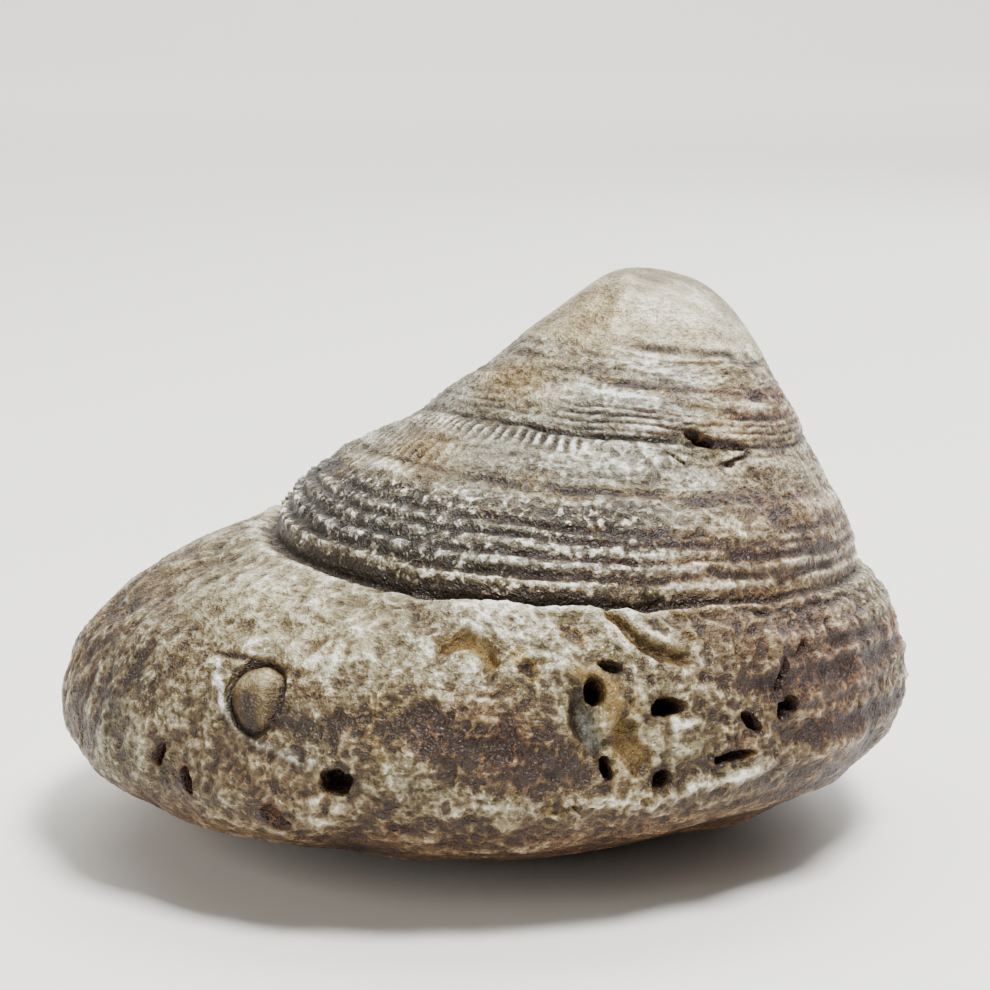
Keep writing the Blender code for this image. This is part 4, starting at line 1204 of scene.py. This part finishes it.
def seaPolishedLimestone():
    # fossil limestone with calcite, tumbled by the sea: a soft wet-looking gloss on the crests,
    # a net of fine pale crests, brown and black stain left in the hollows
    material = bpy.data.materials.new("seaPolishedLimestone")
    material.use_nodes = True
    tree = material.node_tree
    tree.nodes.clear()
    place = addNode(tree, "TexCoord").outputs["Object"]
    stored = {name: addNode(tree, "Attribute", {"attribute_name": name}).outputs
              for name in ("tone", "tint", "band", "speckle", "grainShare")}
    split = addNode(tree, "SeparateXYZ", None, Vector=stored["tint"]["Vector"]).outputs

    streakPlace = addNode(tree, "Mapping", None, Vector=stored["band"]["Vector"],
                          Scale=stone["streakScale"]).outputs[0]
    # each pattern's scale is one metre over its real size
    noises = {}
    for name, (size, detail, rough, twist) in stone["patterns"].items():
        noises[name] = addNode(
            tree, "TexNoise", None, Vector=streakPlace if name == "streak" else place,
            Scale=1000.0 / size, Detail=detail, Roughness=rough, Distortion=twist).outputs["Fac"]

    # pale nets run where the noise crosses its middle: 1 - steepness |noise - 0.5|
    for name, source, steepness in stone["nets"]:
        off = addNode(tree, "Math", {"operation": "SUBTRACT"}, i0=noises[source], i1=0.5).outputs[0]
        off = addNode(tree, "Math", {"operation": "ABSOLUTE"}, i0=off).outputs[0]
        noises[name] = addNode(tree, "Math", {"operation": "MULTIPLY_ADD", "use_clamp": True},
                               i0=off, i1=-steepness, i2=1.0).outputs[0]

    limits = ("From_Min", "From_Max", "To_Min", "To_Max")
    white = addNode(tree, "MapRange", None, Value=noises["fleck"], **dict(zip(limits, stone["flecks"])))
    dots = addNode(tree, "MapRange", None, Value=noises["dot"], **dict(zip(limits, stone["dots"])))
    flecks = addNode(tree, "Math", {"operation": "ADD"}, i0=white.outputs[0], i1=dots.outputs[0]).outputs[0]
    flecks = addNode(tree, "Math", {"operation": "MULTIPLY"}, i0=flecks,
                     i1=stored["speckle"]["Fac"]).outputs[0]

    # level on the colour ramps: the tone of the place plus every pattern's share
    level = addNode(tree, "Math", {"operation": "MULTIPLY_ADD"}, i0=stored["tone"]["Fac"],
                    i1=stone["toneGain"], i2=stone["middle"]).outputs[0]
    grain = -sum(share * mean for share, mean in stone["shares"].values())
    for name, (share, mean) in stone["shares"].items():
        grain = addNode(tree, "Math", {"operation": "MULTIPLY_ADD"}, i0=noises[name], i1=share,
                        i2=grain).outputs[0]
    level = addNode(tree, "Math", {"operation": "MULTIPLY_ADD"}, i0=grain, i1=stored["grainShare"]["Fac"],
                    i2=level).outputs[0]
    level = addNode(tree, "Math", {"operation": "ADD", "use_clamp": True}, i0=level, i1=flecks).outputs[0]

    ragged = addNode(tree, "Math", {"operation": "MULTIPLY_ADD"}, i0=noises["blotch"],
                     i1=stone["tintEdge"][0], i2=stone["tintEdge"][1]).outputs[0]
    colour = addNode(tree, "ValToRGB", {"ramp": stone["plain"]}, Fac=level).outputs["Color"]
    for key, channel in (("cool", 2), ("rust", 1), ("ochre", 0)):
        tinted = addNode(tree, "ValToRGB", {"ramp": stone[key]}, Fac=level).outputs["Color"]
        share = addNode(tree, "Math", {"operation": "ADD", "use_clamp": True}, i0=split[channel],
                        i1=ragged).outputs[0]
        colour = addNode(tree, "Mix", {"data_type": "RGBA"}, i0=share, i6=colour, i7=tinted).outputs[2]

    rough = addNode(tree, "MapRange", None, Value=level,
                    **dict(zip(limits, stone["roughness"]))).outputs[0]
    rough = addNode(tree, "Math", {"operation": "MULTIPLY_ADD", "use_clamp": True}, i0=noises["grit"],
                    i1=stone["gritRoughness"], i2=rough).outputs[0]
    gloss = addNode(tree, "MapRange", None, Value=level,
                    **dict(zip(limits, stone["gloss"]))).outputs[0]

    relief = 0.0
    for name, share in stone["bump"].items():
        relief = addNode(tree, "Math", {"operation": "MULTIPLY_ADD"}, i0=noises[name], i1=share,
                         i2=relief).outputs[0]
    bump = addNode(tree, "Bump", None, Strength=1.0, Distance=stone["bumpHeight"], Height=relief).outputs[0]
    shader = addNode(tree, "BsdfPrincipled", None, Base_Color=colour, Roughness=rough, Metallic=0.0,
                     IOR=stone["ior"], Specular_IOR_Level=stone["specular"], Normal=bump, Coat_Weight=gloss,
                     Coat_Roughness=stone["coatRoughness"], Coat_Normal=bump).outputs[0]
    addNode(tree, "OutputMaterial", None, Surface=shader)
    return material


studio = {
    "floor": 40.0, "floorColour": "#ECEAE5",
    "sweepStart": 2.2, "sweepRadius": 1.6, "sweepTop": 8.0,      # metres behind the shell
    "wall": "#DAD8D4", "wallStrength": 0.16,
    "lights": (     # place, size, power in watts, colour, point looked at
        ((0.14, -0.12, 0.55), 0.16, 6.8, "#FFFFFF", (0.0, 0.0, 0.02)),
        ((-0.45, -0.42, 0.30), 0.40, 2.2, "#FFFBF4", (0.0, 0.0, 0.02)),
        ((0.30, 0.45, 0.40), 0.45, 2.6, "#F8FAFF", (0.0, 0.0, 0.02)),
        ((0.00, 1.60, 2.40), 3.00, 170.0, "#FFFFFF", (0.0, 3.2, 0.0)),
    ),
    "camera": (0.00075, -0.19287, 0.0667),      # metres
    "lens": 87.3,
    "pitch": 11.6,                              # degrees below level
}


def makeStudio():
    scene = bpy.context.scene
    # the paper's section: level, a quarter circle, then upright
    half, radius = studio["floor"] / 2, studio["sweepRadius"]
    bend = np.linspace(0.0, math.pi / 2, 25)
    alongY = np.concatenate([[-half], studio["sweepStart"] + radius * np.sin(bend),
                             [studio["sweepStart"] + radius]])
    height = np.concatenate([[0.0], radius * (1 - np.cos(bend)), [studio["sweepTop"]]])
    left = np.stack([np.full(len(alongY), -half), alongY, height], -1)
    right = left * np.array([-1.0, 1.0, 1.0])
    first = np.arange(len(alongY) - 1)
    faces = np.stack([first, first + len(alongY), first + len(alongY) + 1, first + 1], -1)
    mesh = bpy.data.meshes.new("floor")
    mesh.from_pydata(np.concatenate([left, right]).tolist(), [], faces.tolist())
    mesh.polygons.foreach_set("use_smooth", np.ones(len(faces), dtype=bool))
    floor = bpy.data.objects.new("floor", mesh)
    scene.collection.objects.link(floor)
    paper = bpy.data.materials.new("matPaper")      # plain matt backdrop paper
    paper.use_nodes = True
    shader = paper.node_tree.nodes["Principled BSDF"]
    shader.inputs["Base Color"].default_value = linear(studio["floorColour"])
    shader.inputs["Roughness"].default_value = 0.9
    mesh.materials.append(paper)

    world = bpy.data.worlds.new("studioWall")
    world.use_nodes = True
    world.node_tree.nodes["Background"].inputs["Color"].default_value = linear(studio["wall"])
    world.node_tree.nodes["Background"].inputs["Strength"].default_value = studio["wallStrength"]
    scene.world = world
    for number, (spot, size, power, colour, aim) in enumerate(studio["lights"]):
        lamp = bpy.data.lights.new("softbox%d" % number, "AREA")
        lamp.size, lamp.energy, lamp.color = size, power, linear(colour)[:3]
        holder = bpy.data.objects.new("softbox%d" % number, lamp)
        holder.location = spot
        holder.rotation_euler = (Vector(aim) - Vector(spot)).to_track_quat("-Z", "Y").to_euler()
        scene.collection.objects.link(holder)

    lens = bpy.data.cameras.new("camera")
    lens.lens, lens.sensor_width = studio["lens"], 36.0
    lens.clip_start = 0.01
    camera = bpy.data.objects.new("camera", lens)
    camera.location = studio["camera"]
    camera.rotation_euler = (math.radians(90 - studio["pitch"]), 0, 0)
    scene.collection.objects.link(camera)
    scene.camera = camera


shell = makeSkin()
shell.data.materials.clear()
shell.data.materials.append(seaPolishedLimestone())
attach(shell, "root")
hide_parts("fossil_shell")
makeStudio()
